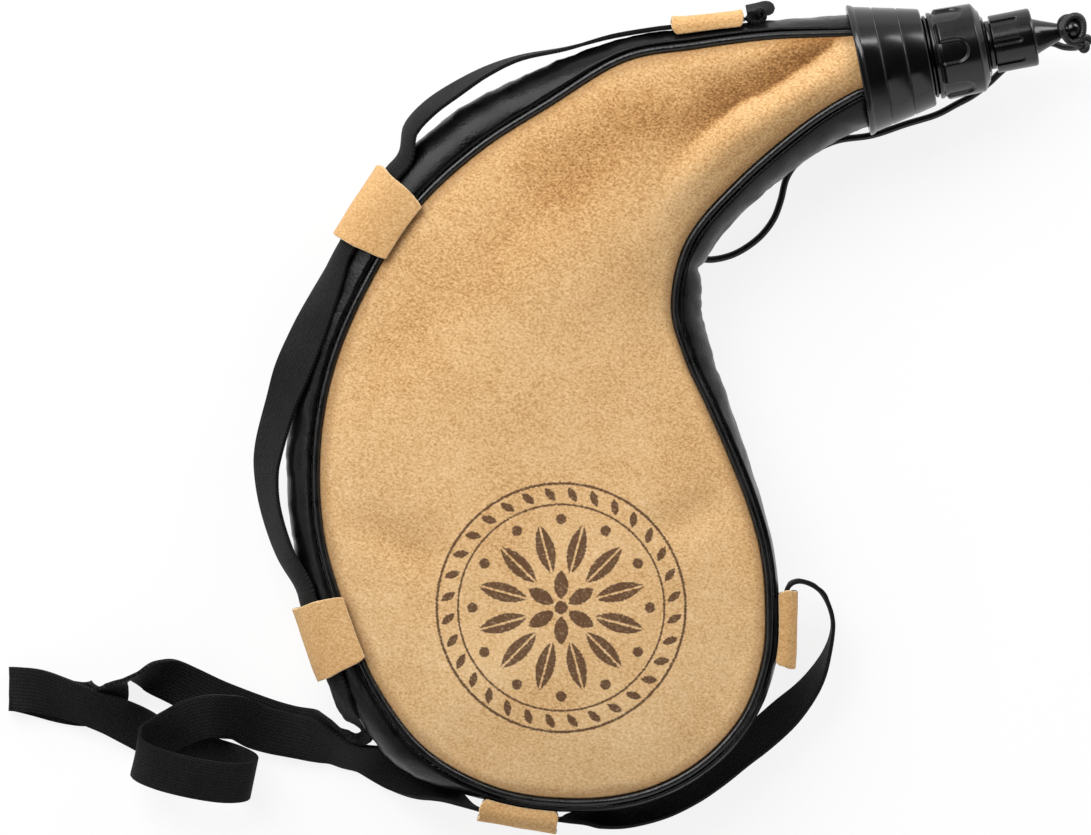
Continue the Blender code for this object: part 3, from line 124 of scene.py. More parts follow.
# The strap's middle line in metres, the direction of its width and how far its edges bend back
strapRoute = [
    ((0.0197, 0.1444, 0.0229), (0.00, 0.00, 1.00), 0.0),
    ((0.0155, 0.1438, 0.0228), (0.00, 0.00, 1.00), 0.0),
    ((0.0061, 0.1429, 0.0224), (0.00, 0.00, 1.00), 0.0),
    ((-0.0065, 0.1415, 0.0220), (0.00, 0.00, 1.00), 0.0),
    ((-0.0133, 0.1407, 0.0218), (0.00, 0.00, 1.00), 0.0),
    ((-0.0284, 0.1381, 0.0212), (0.00, 0.00, 1.00), 0.0),
    ((-0.0446, 0.1337, 0.0215), (0.00, -0.05, 1.00), 0.0),
    ((-0.0608, 0.1305, 0.0220), (0.00, -0.10, 1.00), 0.0),
    ((-0.0731, 0.1256, 0.0227), (0.05, -0.20, 0.98), 0.0),
    ((-0.0842, 0.1190, 0.0237), (0.15, -0.27, 0.95), 0.0),
    ((-0.0943, 0.1123, 0.0248), (0.20, -0.28, 0.94), 0.0005),
    ((-0.1015, 0.1048, 0.0257), (0.22, -0.26, 0.94), 0.0012),
    ((-0.1039, 0.0953, 0.0261), (0.24, -0.24, 0.94), 0.0019),
    ((-0.1090, 0.0892, 0.0261), (0.25, -0.23, 0.94), 0.0021),
    ((-0.1175, 0.0773, 0.0261), (0.28, -0.19, 0.94), 0.0021),
    ((-0.1243, 0.0647, 0.0261), (0.30, -0.17, 0.94), 0.0021),
    ((-0.1277, 0.0581, 0.0264), (0.33, -0.17, 0.93), 0.0020),
    ((-0.1321, 0.0457, 0.0280), (0.50, -0.27, 0.82), 0.0012),
    ((-0.1372, 0.0324, 0.0290), (0.66, -0.33, 0.67), 0.0005),
    ((-0.1429, 0.0180, 0.0288), (0.74, -0.30, 0.60), 0.0),
    ((-0.1472, 0.0058, 0.0266), (0.64, -0.20, 0.74), 0.0),
    ((-0.1516, -0.0101, 0.0228), (0.60, -0.05, 0.79), 0.0),
    ((-0.1525, -0.0202, 0.0218), (0.50, 0.03, 0.86), 0.0),
    ((-0.1508, -0.0328, 0.0222), (0.40, 0.10, 0.91), 0.0),
    ((-0.1465, -0.0479, 0.0244), (0.35, 0.10, 0.93), 0.0008),
    ((-0.1407, -0.0598, 0.0262), (0.33, 0.10, 0.94), 0.0018),
    ((-0.1388, -0.0667, 0.0263), (0.32, 0.11, 0.94), 0.0021),
    ((-0.1349, -0.0793, 0.0263), (0.32, 0.12, 0.94), 0.0021),
    ((-0.1297, -0.0923, 0.0256), (0.28, 0.13, 0.95), 0.0020),
    ((-0.1267, -0.0986, 0.0226), (0.22, 0.09, 0.97), 0.0010),
    ((-0.1237, -0.1042, 0.0182), (0.22, 0.08, 0.97), 0.0003),
    ((-0.1206, -0.1082, 0.0144), (0.24, 0.10, 0.97), 0.0),
    ((-0.1184, -0.1107, 0.0120), (0.24, 0.12, 0.96), 0.0),
    ((-0.1180, -0.1125, 0.0108), (0.20, 0.16, 0.97), 0.0),
    ((-0.1201, -0.1139, 0.0096), (0.08, 0.20, 0.98), 0.0),
    ((-0.1238, -0.1140, 0.0086), (0.00, 0.28, 0.96), 0.0),
    ((-0.1282, -0.1136, 0.0069), (0.02, 0.62, 0.78), 0.0),
    ((-0.1325, -0.1131, 0.0047), (0.08, 0.85, 0.52), 0.0),
    ((-0.1368, -0.1124, 0.0024), (0.15, 0.97, 0.15), 0.0),
    ((-0.1426, -0.1116, 0.0012), (0.26, 0.97, 0.00), 0.0),
    ((-0.1480, -0.1103, 0.0011), (0.34, 0.94, 0.00), 0.0),
    ((-0.1541, -0.1084, 0.0011), (0.38, 0.92, 0.00), 0.0),
    ((-0.1631, -0.1051, 0.0011), (0.40, 0.92, 0.00), 0.0),
    ((-0.1721, -0.1015, 0.0011), (0.42, 0.91, 0.00), 0.0),
    ((-0.1807, -0.0974, 0.0017), (0.40, 0.91, 0.10), 0.0),
    ((-0.1883, -0.0938, 0.0036), (0.28, 0.90, 0.35), 0.0),
    ((-0.1948, -0.0920, 0.0070), (0.08, 0.60, 0.80), 0.0),
    ((-0.2002, -0.0927, 0.0088), (0.00, 0.14, 0.99), 0.0),
    ((-0.2041, -0.0941, 0.0089), (-0.02, 0.06, 1.00), 0.0),
    ((-0.2070, -0.0961, 0.0083), (-0.04, 0.36, 0.93), 0.0),
    ((-0.2099, -0.0992, 0.0064), (-0.02, 0.74, 0.67), 0.0),
    ((-0.2135, -0.1017, 0.0036), (0.08, 0.95, 0.28), 0.0),
    ((-0.2182, -0.1028, 0.0019), (0.16, 0.98, 0.08), 0.0),
    ((-0.2232, -0.1024, 0.0011), (0.22, 0.97, 0.00), 0.0),
    ((-0.2290, -0.1012, 0.0011), (0.27, 0.96, 0.00), 0.0),
    ((-0.2354, -0.0994, 0.0011), (0.24, 0.97, 0.00), 0.0),
    ((-0.2423, -0.0977, 0.0011), (0.08, 1.00, 0.00), 0.0),
    ((-0.2454, -0.0973, 0.0025), (0.00, 1.00, 0.00), 0.0),
    ((-0.2423, -0.0974, 0.0039), (0.04, 1.00, 0.00), 0.0),
    ((-0.2354, -0.0981, 0.0052), (0.14, 0.97, 0.18), 0.0),
    ((-0.2261, -0.1006, 0.0072), (0.23, 0.86, 0.46), 0.0),
    ((-0.2167, -0.1039, 0.0090), (0.28, 0.79, 0.55), 0.0),
    ((-0.2081, -0.1071, 0.0074), (0.32, 0.82, 0.47), 0.0),
    ((-0.1998, -0.1111, 0.0050), (0.34, 0.88, 0.33), 0.0),
    ((-0.1922, -0.1154, 0.0043), (0.26, 0.89, 0.38), 0.0),
    ((-0.1840, -0.1188, 0.0046), (0.19, 0.89, 0.42), 0.0),
    ((-0.1735, -0.1219, 0.0048), (0.19, 0.89, 0.42), 0.0),
    ((-0.1634, -0.1251, 0.0070), (0.19, 0.89, 0.42), 0.0),
    ((-0.1580, -0.1280, 0.0110), (0.19, 0.89, 0.42), 0.0),
    ((-0.1591, -0.1303, 0.0163), (0.19, 0.89, 0.42), 0.0),
    ((-0.1674, -0.1307, 0.0206), (0.19, 0.89, 0.42), 0.0),
    ((-0.1800, -0.1287, 0.0223), (0.19, 0.89, 0.42), 0.0),
    ((-0.1922, -0.1255, 0.0206), (0.19, 0.89, 0.42), 0.0),
    ((-0.1993, -0.1219, 0.0163), (0.19, 0.89, 0.42), 0.0),
    ((-0.1975, -0.1177, 0.0114), (0.17, 0.89, 0.42), 0.0),
    ((-0.1915, -0.1143, 0.0100), (0.02, 0.88, 0.45), 0.0),
    ((-0.1847, -0.1107, 0.0114), (-0.13, 0.86, 0.45), 0.0),
    ((-0.1786, -0.1080, 0.0143), (-0.15, 0.90, 0.35), 0.0),
    ((-0.1730, -0.1069, 0.0162), (0.00, 0.95, 0.25), 0.0),
    ((-0.1678, -0.1071, 0.0146), (0.15, 0.95, 0.15), 0.0),
    ((-0.1627, -0.1078, 0.0108), (0.25, 0.93, 0.10), 0.0),
    ((-0.1570, -0.1109, 0.0068), (0.30, 0.92, 0.10), 0.0),
    ((-0.1512, -0.1127, 0.0046), (0.30, 0.93, 0.10), 0.0),
    ((-0.1451, -0.1139, 0.0040), (0.26, 0.94, 0.10), 0.0),
    ((-0.1397, -0.1150, 0.0046), (0.20, 0.94, 0.22), 0.0),
    ((-0.1346, -0.1165, 0.0066), (0.14, 0.86, 0.46), 0.0),
    ((-0.1296, -0.1184, 0.0082), (0.15, 0.68, 0.70), 0.0),
    ((-0.1238, -0.1211, 0.0088), (0.22, 0.55, 0.80), 0.0),
    ((-0.1170, -0.1226, 0.0082), (0.32, 0.58, 0.74), 0.0),
    ((-0.1098, -0.1247, 0.0066), (0.42, 0.76, 0.35), 0.0),
    ((-0.1037, -0.1271, 0.0062), (0.44, 0.86, -0.10), 0.0),
    ((-0.0979, -0.1298, 0.0082), (0.36, 0.80, -0.46), 0.0),
    ((-0.0925, -0.1328, 0.0120), (0.24, 0.58, -0.78), 0.0),
    ((-0.0871, -0.1357, 0.0164), (0.12, 0.30, -0.95), 0.0),
    ((-0.0821, -0.1381, 0.0194), (0.04, 0.10, -1.00), 0.0),
    ((-0.0770, -0.1400, 0.0208), (0.00, 0.00, -1.00), 0.0),
    ((-0.0724, -0.1412, 0.0210), (0.00, 0.00, -1.00), 0.0),
    ((-0.0666, -0.1417, 0.0210), (0.00, 0.00, -1.00), 0.0),
    ((-0.0605, -0.1426, 0.0210), (0.00, 0.00, -1.00), 0.0),
    ((-0.0540, -0.1433, 0.0210), (0.00, 0.00, -1.00), 0.0),
    ((-0.0479, -0.1439, 0.0210), (0.00, 0.00, -1.00), 0.0),
    ((-0.0421, -0.1443, 0.0194), (0.00, 0.08, -1.00), 0.0),
    ((-0.0349, -0.1440, 0.0146), (0.00, 0.35, -0.93), 0.0),
    ((-0.0234, -0.1420, 0.0096), (-0.10, 0.60, -0.79), 0.0),
    ((-0.0108, -0.1384, 0.0074), (-0.20, 0.66, -0.72), 0.0),
    ((0.0000, -0.1332, 0.0068), (-0.32, 0.62, -0.71), 0.0),
    ((0.0090, -0.1271, 0.0068), (-0.39, 0.58, -0.71), 0.0),
    ((0.0176, -0.1202, 0.0068), (-0.42, 0.56, -0.71), 0.0),
    ((0.0259, -0.1138, 0.0069), (-0.43, 0.55, -0.71), 0.0),
    ((0.0342, -0.1064, 0.0072), (-0.45, 0.50, -0.74), 0.0),
    ((0.0410, -0.0994, 0.0080), (-0.38, 0.33, -0.86), 0.0),
    ((0.0461, -0.0922, 0.0086), (-0.28, 0.17, -0.94), 0.0),
    ((0.0500, -0.0835, 0.0092), (-0.10, 0.03, -1.00), 0.0),
    ((0.0517, -0.0756, 0.0104), (0.00, 0.00, -1.00), 0.0),
    ((0.0506, -0.0684, 0.0128), (0.00, 0.00, -1.00), 0.0),
    ((0.0472, -0.0621, 0.0158), (0.00, 0.00, -1.00), 0.0),
    ((0.0425, -0.0590, 0.0186), (0.00, 0.00, -1.00), 0.0),
    ((0.0382, -0.0585, 0.0202), (0.00, 0.00, -1.00), 0.0),
    ((0.0352, -0.0608, 0.0209), (0.00, 0.00, -1.00), 0.0),
    ((0.0346, -0.0655, 0.0210), (0.00, 0.00, -1.00), 0.0),
    ((0.0345, -0.0742, 0.0210), (0.00, 0.00, -1.00), 0.0),
    ((0.0336, -0.0835, 0.0210), (0.00, 0.00, -1.00), 0.0),
]

# The keeper cord's middle line, from its knot on the small cap to the back seam
tetherRoute = [
    (0.1408, 0.1354, 0.0211),
    (0.1392, 0.1344, 0.0172),
    (0.1352, 0.1346, 0.0132),
    (0.1303, 0.1361, 0.0100),
    (0.1242, 0.1343, 0.0075),
    (0.1181, 0.1307, 0.0062),
    (0.1127, 0.1260, 0.0065),
    (0.1073, 0.1210, 0.0078),
    (0.1019, 0.1170, 0.0088),
    (0.0965, 0.1141, 0.0093),
    (0.0889, 0.1102, 0.0088),
    (0.0781, 0.1069, 0.0070),
    (0.0662, 0.1030, 0.0050),
    (0.0544, 0.1013, 0.0040),
    (0.0468, 0.0983, 0.0032),
    (0.0396, 0.0936, 0.0026),
    (0.0352, 0.0875, 0.0022),
    (0.0331, 0.0795, 0.0020),
    (0.0305, 0.0727, 0.0020),
    (0.0259, 0.0666, 0.0020),
    (0.0198, 0.0619, 0.0020),
    (0.0140, 0.0592, 0.0022),
    (0.0076, 0.0580, 0.0028),
    (0.0028, 0.0588, 0.0042),
    (0.0000, 0.0605, 0.0053),
]


def curvePoint(points, place):
    # A smooth curve through the points, and its slope, at a place counted in points
    last = len(points) - 1
    index = min(int(place), last - 1)
    share = place - index
    start, end = points[index], points[index + 1]
    before = points[index - 1] if index else 2 * start - end
    after = points[index + 2] if index + 2 <= last else 2 * end - start
    square = 2 * before - 5 * start + 4 * end - after
    cube = 3 * (start - end) + after - before
    value = start + 0.5 * share * (end - before + share * (square + share * cube))
    slope = 0.5 * (end - before + share * (2 * square + share * 3 * cube))
    return value, slope


def newPiece(name, shape, material, smooth=True):
    mesh = bpy.data.meshes.new(name)
    shape.to_mesh(mesh)
    shape.free()
    for face in mesh.polygons:
        face.use_smooth = smooth
    piece = bpy.data.objects.new(name, mesh)
    bpy.context.scene.collection.objects.link(piece)
    mesh.materials.append(material)
    return piece


def mappedGrid(table, flip=False, merge=0.00002):
    # A grid bent through a table of points, table[column][row], with its UV map in metres
    table = np.array(table)
    columns, rows = table.shape[0] - 1, table.shape[1] - 1
    middle = table[:, rows // 2]
    along = np.concatenate([[0.0], np.cumsum(np.linalg.norm(np.diff(middle, axis=0), axis=1))])
    across = np.concatenate([np.zeros((columns + 1, 1)),
                             np.cumsum(np.linalg.norm(np.diff(table, axis=1), axis=2), axis=1)], axis=1)
    shape = bmesh.new()
    bmesh.ops.create_grid(shape, x_segments=columns, y_segments=rows, size=1.0)
    layer = shape.loops.layers.uv.new("UVMap")
    spots = {}
    for vertex in shape.verts:
        column = round((vertex.co.x + 1) / 2 * columns)
        row = round((vertex.co.y + 1) / 2 * rows)
        spots[vertex] = (along[column], across[column, row])
        vertex.co = table[column, row]
    for face in shape.faces:
        for corner in face.loops:
            corner[layer].uv = spots[corner.vert]
    if flip:
        bmesh.ops.reverse_faces(shape, faces=shape.faces)
    bmesh.ops.remove_doubles(shape, verts=shape.verts, dist=merge)
    return shape


# The round end of a tube: how far each ring has shrunk and how far it stands out, as shares of the radius
tubeEnd = [(0.0, 0.55), (0.6, 0.4), (0.9, 0.18)]


def endRings(tip, inner, ring, radius):
    ahead = (tip - inner).normalized() * radius
    return [[tip.lerp(spot, share) + ahead * out for spot in ring] for share, out in tubeEnd]


def sweptTube(points, radius, around=12):
    # A round tube along the points, with closed ends
    points = [Vector(point) for point in points]
    side = None
    table = []
    for index, point in enumerate(points):
        ahead = points[min(index + 1, len(points) - 1)] - points[max(index - 1, 0)]
        ahead.normalize()
        side = side or ahead.orthogonal()
        side = (side - ahead * side.dot(ahead)).normalized()
        up = ahead.cross(side)
        angles = [2 * math.pi * step / around for step in range(around + 1)]
        table.append([point + (side * math.cos(angle) + up * math.sin(angle)) * radius for angle in angles])
    first = endRings(points[0], points[1], table[0], radius)
    last = endRings(points[-1], points[-2], table[-1], radius)
    shape = mappedGrid(first + table + last[::-1])
    bmesh.ops.recalc_face_normals(shape, faces=shape.faces)
    return shape


def thicken(piece, thickness, offset=0.0, edge=None):
    wall = piece.modifiers.new("wall", "SOLIDIFY")
    wall.thickness = thickness
    wall.offset = offset
    wall.use_even_offset = True
    if edge:
        piece.data.materials.append(edge)
        wall.material_offset_rim = 1
    return piece


def roundEdges(piece, width, segments=2, angle=40.0):
    rounding = piece.modifiers.new("edges", "BEVEL")
    rounding.width = width
    rounding.segments = segments
    rounding.limit_method = "ANGLE"
    rounding.angle_limit = math.radians(angle)
    return piece


def pathLength(path):
    return sum(math.dist(a, b) for a, b in zip(path, path[1:]))


# Woven nylon tape: warp threads in lengthwise ribs, crossed by a weft, dull with a faint thread sheen. The
# threads are drawn coarser than real ones, so that they show
tape = {"name": "wovenNylonTape", "stops": [(0.02, "#040404"), (0.30, "#252525")], "roughness": 0.75,
        "specular": 0.16, "sheen": 0.02, "sheenRoughness": 0.4, "rib": 0.00125, "pick": 0.00115,
        "ribShare": 0.45, "swing": 1.3, "fuzz": 0.00111, "fuzzShare": 0.25, "fade": 0.025, "strength": 0.8,
        "relief": 0.0003}


def wovenTape(tape):
    material = newMaterial(tape["name"], tape["stops"][-1][1], tape["roughness"],
                           {"Specular IOR Level": tape["specular"], "Sheen Weight": tape["sheen"],
                            "Sheen Roughness": tape["sheenRoughness"]})
    parts = addNode(material, "SeparateXYZ", [addNode(material, "UVMap", uv_map="UVMap")["UV"]])
    threads = []
    for part, step in (("Y", tape["rib"]), ("X", tape["pick"])):
        turns = addNode(material, "Math", [parts[part], 2 * math.pi / step], operation="MULTIPLY")["Value"]
        threads.append(addNode(material, "Math", [turns], operation="SINE")["Value"])
    crossing = addNode(material, "Math", threads, operation="MULTIPLY")["Value"]
    ribs = addNode(material, "Math", [threads[0], tape["ribShare"], crossing],
                   operation="MULTIPLY_ADD")["Value"]
    height = addNode(material, "MapRange", [ribs, -tape["swing"], tape["swing"]])["Result"]
    place = addNode(material, "TexCoord")["Object"]
    fuzz = addNode(material, "TexNoise", {"Vector": place, "Scale": 1 / tape["fuzz"], "Detail": 3.0})["Fac"]
    fade = addNode(material, "TexNoise", {"Vector": place, "Scale": 1 / tape["fade"]})["Fac"]
    tone = addNode(material, "Math", [height, fuzz], operation="MULTIPLY")["Value"]
    tone = addNode(material, "Math", [tone, fade], operation="MULTIPLY")["Value"]
    relief = addNode(material, "Math", [fuzz, tape["fuzzShare"], height], operation="MULTIPLY_ADD")["Value"]
    feed(material, {
        "Base Color": addNode(material, "ValToRGB", [tone], tape["stops"])["Color"],
        "Normal": addNode(material, "Bump", {"Height": relief, "Strength": tape["strength"],
                                             "Distance": tape["relief"]})["Normal"]})
    return material


# Braided polyester cord: strands that cross in two spirals, a little shinier than the tape
braiding = {"name": "braidedPolyesterCord", "stops": [(0.1, "#030303"), (0.6, "#121212")], "roughness": 0.48,
            "sheen": 0.1, "pitch": 0.0016, "round": 0.0039, "fuzz": 0.000833, "strength": 0.6,
            "relief": 0.0002}


def braidedCord(braiding):
    material = newMaterial(braiding["name"], braiding["stops"][-1][1], braiding["roughness"],
                           {"Sheen Weight": braiding["sheen"]})
    parts = addNode(material, "SeparateXYZ", [addNode(material, "UVMap", uv_map="UVMap")["UV"]])
    turns = addNode(material, "Math", [parts["Y"], 4 * math.pi / braiding["round"]],
                    operation="MULTIPLY")["Value"]
    strands = []
    for step in (braiding["pitch"], -braiding["pitch"]):
        run = addNode(material, "Math", [parts["X"], 2 * math.pi / step, turns],
                      operation="MULTIPLY_ADD")["Value"]
        strands.append(addNode(material, "Math", [run], operation="SINE")["Value"])
    crossing = addNode(material, "Math", strands, operation="MULTIPLY")["Value"]
    height = addNode(material, "MapRange", [crossing, -1.0])["Result"]
    place = addNode(material, "TexCoord")["Object"]
    fuzz = addNode(material, "TexNoise", {"Vector": place, "Scale": 1 / braiding["fuzz"]})["Fac"]
    tone = addNode(material, "Math", [height, fuzz], operation="MULTIPLY")["Value"]
    feed(material, {
        "Base Color": addNode(material, "ValToRGB", [tone], braiding["stops"])["Color"],
        "Normal": addNode(material, "Bump", {"Height": height, "Strength": braiding["strength"],
                                             "Distance": braiding["relief"]})["Normal"]})
    return material


webbing = wovenTape(tape)
braid = braidedCord(braiding)

# The strap, one woven ribbon from its folded end, through all five loops
strap = {"width": 0.0160, "thickness": 0.0013, "edge": 0.0004, "sections": 6, "across": 8}
# The curled end: how far ahead and aside of the strap's start, and the direction of its width
strapTail = [(0.0003, 0.0, (0.0, 0.0, 1.0)), (0.0022, 0.0, (0.0, -0.22, 0.97)),
             (0.0048, 0.0002, (-0.03, -0.34, 0.94)), (0.0068, 0.0009, (-0.20, -0.36, 0.90)),
             (0.0075, 0.0019, (-0.34, -0.32, 0.88)), (0.0064, 0.0028, (-0.24, -0.26, 0.93)),
             (0.0040, 0.0031, (-0.10, -0.22, 0.97)), (0.0010, 0.0030, (0.0, -0.20, 0.98))]


def buildRibbon(name, route):
    # Tape along a route of middle points, width directions and how far the edges bend back
    middles, widths = np.array([stop[0] for stop in route]), np.array([stop[1] for stop in route])
    bends = np.array([[stop[2]] for stop in route])
    shares = np.linspace(-1.0, 1.0, strap["across"] + 1)
    table, path = [], []
    for place in np.linspace(0.0, len(route) - 1, (len(route) - 1) * strap["sections"] + 1):
        middle, slope = curvePoint(middles, place)
        along, width = Vector(slope).normalized(), Vector(curvePoint(widths, place)[0])
        half = (width - along * width.dot(along)).normalized() * strap["width"] / 2
        back = along.cross(half).normalized() * -curvePoint(bends, place)[0][0]
        table.append([Vector(middle) + half * share + back * share ** 2 for share in shares])
        path.append(tuple(middle))
    piece = thicken(newPiece(name, mappedGrid(table), webbing), strap["thickness"])
    return roundEdges(piece, strap["edge"]), path


def tailRoute():
    # The strap's end, curled back beside itself, its tail leaning so that its face shows
    start, slope = curvePoint(np.array([stop[0] for stop in strapRoute]), 0.0)
    along = -Vector(slope).normalized()
    off = Vector((-along.y, along.x, 0.0))
    return [(Vector(start) + along * ahead + off * aside, width, 0.0) for ahead, aside, width in strapTail]


strapPiece, strapPath = buildRibbon("strap", strapRoute)
strapFold = buildRibbon("strapFold", tailRoute())[0]
for piece, stoodFor in ((strapPiece, ("strap_upper", "strap_slack", "strap_side")),
                        (strapFold, ("strap_end",))):
    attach(piece, "bag")
    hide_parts(*stoodFor)
print(f"strap {pathLength(strapPath):.3f} m")

# The keeper cord, in two pieces, because its knot end moves with the small cap; here both pieces stay where
# they are laid
keeperCord = {"radius": 0.00125, "sections": 8, "join": 9}
for name, first, last, bodies, node in (
        ("keeperLead", 0, keeperCord["join"], ("fill_washer", "keeper"), "tether_lead"),
        ("keeperLoop", keeperCord["join"], len(tetherRoute) - 1, ("bag", "fill_washer"), "tether_loop")):
    places = np.linspace(first, last, (last - first) * keeperCord["sections"] + 1)
    path = [tuple(curvePoint(np.array(tetherRoute), place)[0]) for place in places]
    piece = newPiece(name, sweptTube(path, keeperCord["radius"]), braid)
    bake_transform(piece)
    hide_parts(node)
    print(f"{name} {pathLength(path):.3f} m")

# The bag's sizes in metres, and its outline as shares of its length: the seam's place, then the middle line's
bag = {"length": 0.360, "belly": 0.042, "seams": 0.025, "bulge": 0.0132, "suede": 0.0018, "strip": 0.0010,
       "liner": 0.0009, "play": 0.0009, "piping": 0.0013, "gap": 0.0003, "crown": 2.4, "flat": 0.55,
       "neckAngle": math.radians(10.9), "upperSeam": math.radians(44.0), "lowerSeam": math.radians(27.0),
       "collarWide": 0.0234, "collarTop": 0.0178, "collarLength": 0.0254, "collarWall": 0.0020,
       "tuck": 0.0040, "neckSwell": 0.0010, "neckShare": (0.168, 0.3495), "lip": 0.0005, "rest": 0.0001,
       "facets": 28, "outsideShare": -0.9}
outlineShares = [
    (0.079, 0.383, 0.085, 0.323), (0.005, 0.374, 0.015, 0.285), (-0.067, 0.361, -0.050, 0.238),
    (-0.141, 0.317, -0.110, 0.175), (-0.215, 0.269, -0.150, 0.115), (-0.279, 0.208, -0.168, 0.058),
    (-0.326, 0.132, -0.172, 0.000), (-0.358, 0.056, -0.166, -0.060), (-0.373, -0.025, -0.155, -0.120),
    (-0.370, -0.111, -0.144, -0.175), (-0.349, -0.188, -0.144, -0.175), (-0.318, -0.263, -0.144, -0.175),
    (-0.268, -0.330, -0.144, -0.175), (-0.197, -0.370, -0.144, -0.175), (-0.120, -0.382, -0.144, -0.175),
    (-0.049, -0.374, -0.144, -0.175), (0.010, -0.345, -0.144, -0.175), (0.054, -0.298, -0.144, -0.175),
    (0.076, -0.239, -0.144, -0.175), (0.079, -0.180, -0.144, -0.175), (0.074, -0.131, -0.155, -0.120),
    (0.061, -0.084, -0.166, -0.060), (0.041, -0.033, -0.172, 0.000), (0.019, 0.017, -0.168, 0.058),
    (-0.002, 0.063, -0.150, 0.115), (-0.015, 0.115, -0.110, 0.175), (0.000, 0.178, -0.050, 0.238),
    (0.048, 0.235, 0.015, 0.285), (0.113, 0.291, 0.085, 0.323),
]
bulgeShares = [
    0.26, 0.31, 0.36, 0.78, 1.00, 0.94, 0.80, 0.70, 0.63, 0.59, 0.70, 0.70, 0.52, 0.12, 0.08, 0.08, 0.08,
    0.08, 0.10, 0.08, 0.08, 0.11, 0.21, 0.33, 0.48, 0.52, 0.36, 0.47, 0.54,
]
neckBlend = [1.0, 1.0, 0.72, 0.42, 0.20, 0.06]
seamOffset = bag["piping"] + bag["gap"]
neckHeight = bag["collarWide"] + bag["lip"] + bag["rest"]
axis = Vector((math.cos(bag["neckAngle"]), math.sin(bag["neckAngle"]), 0.0))
sideways = Vector((-axis.y, axis.x, 0.0))
neckPoint = Vector((bag["neckShare"][0] * bag["length"], bag["neckShare"][1] * bag["length"], neckHeight))
toMouthpiece = Matrix.Translation(neckPoint) @ Matrix.Rotation(bag["neckAngle"], 4, "Z") @ Matrix.Rotation(
    math.pi / 2, 4, "Y")


def collarRadius(height):
    return bag["collarWide"] + (bag["collarTop"] - bag["collarWide"]) * height / bag["collarLength"]


mouthRadius = (collarRadius(bag["tuck"]) - bag["collarWall"]) * math.cos(math.pi / bag["facets"]) - seamOffset
outsideRadius = mouthRadius + bag["neckSwell"]


def neckRow(height, radius, angle, side):
    middle = neckPoint + axis * height
    seam = middle + sideways * side * radius * math.sin(angle)
    bulge = radius - radius * math.sin(angle) - seamOffset * math.cos(angle)
    return [seam.x, seam.y, middle.x, middle.y, bulge, radius * math.cos(angle), radius + bag["gap"],
            neckHeight, angle]


def outlineRows():
    # Seam, middle line, swell, half seam height, half depth, middle height and seam tilt, place by place
    count = len(outlineShares)
    rows = []
    for index, shares in enumerate(outlineShares):
        side = 1 if index < count / 2 else -1
        fromNeck = min(index, count - 1 - index) + 2
        blend = neckBlend[fromNeck] if fromNeck < len(neckBlend) else 0.0
        angle = bag["upperSeam"] if side > 0 else bag["lowerSeam"]
        half = blend * outsideRadius * math.cos(angle) + (1 - blend) * bag["seams"] / 2
        depth = blend * outsideRadius + (1 - blend) * bag["belly"] / 2
        middleHeight = blend * neckHeight + (1 - blend) * bag["belly"] / 2
        rows.append([share * bag["length"] for share in shares]
                    + [bulgeShares[index] * bag["bulge"], half, depth, middleHeight, blend ** 2 * angle])
    outside = bag["outsideShare"] * bag["tuck"]
    ends = [(2 * bag["tuck"] - outside, outsideRadius), (bag["tuck"], mouthRadius), (outside, outsideRadius)]
    upper = [neckRow(height, radius, bag["upperSeam"], 1) for height, radius in ends]
    lower = [neckRow(height, radius, bag["lowerSeam"], -1) for height, radius in reversed(ends)]
    return np.array(upper + rows + lower)


class Station:
    # The bag's section at one place of the outline, on a plane square to the seam

    def __init__(self, rows, place):
        value, slope = curvePoint(rows, place + 1)
        self.seam = Vector((value[0], value[1], 0.0))
        index = min(int(place) + 1, len(rows) - 2)
        middle = rows[index][2:4] + (rows[index + 1][2:4] - rows[index][2:4]) * (place + 1 - index)
        self.middle = Vector((*middle, 0.0))
        self.bulge, self.half, self.depth, self.height, self.tilt = value[4:]
        along = Vector((slope[0], slope[1], 0.0))
        self.spacing = along.length
        along.normalize()
        self.along = along
        self.outward = Vector((along.y, -along.x, 0.0))
        self.lean = seamOffset * math.cos(self.tilt)
        self.lift = seamOffset * math.sin(self.tilt)
        sideHalf = self.half - self.lift
        self.radius = (sideHalf ** 2 + self.bulge ** 2) / (2 * self.bulge)
        self.centre = self.lean + self.bulge - self.radius
        self.angle = math.atan2(sideHalf, self.radius - self.bulge)

    def point(self, distance, height):
        return self.seam + self.outward * distance + Vector((0.0, 0.0, self.height + height))

    def panel(self, share, side, inset=0.0):
        # From the seam at 0 to the middle line at 1
        edge = self.seam - self.outward * self.lean
        edgeHeight = self.half + self.lift
        reach = share if side > 0 else min(share / bag["flat"], 1.0)
        rise = 1 - (1 - reach) ** bag["crown"]
        height = edgeHeight + (self.depth - edgeHeight) * rise - inset
        return edge.lerp(self.middle, share) + Vector((0.0, 0.0, self.height + side * height))

    def strip(self, share, inset=0.0):
        # From the back seam at -1 to the front seam at 1
        angle = share * self.angle
        radius = self.radius - inset
        return self.point(self.centre + radius * math.cos(angle), radius * math.sin(angle))

    def outside(self, height=0.0):
        return self.centre + math.sqrt((self.radius + bag["strip"]) ** 2 - height ** 2)
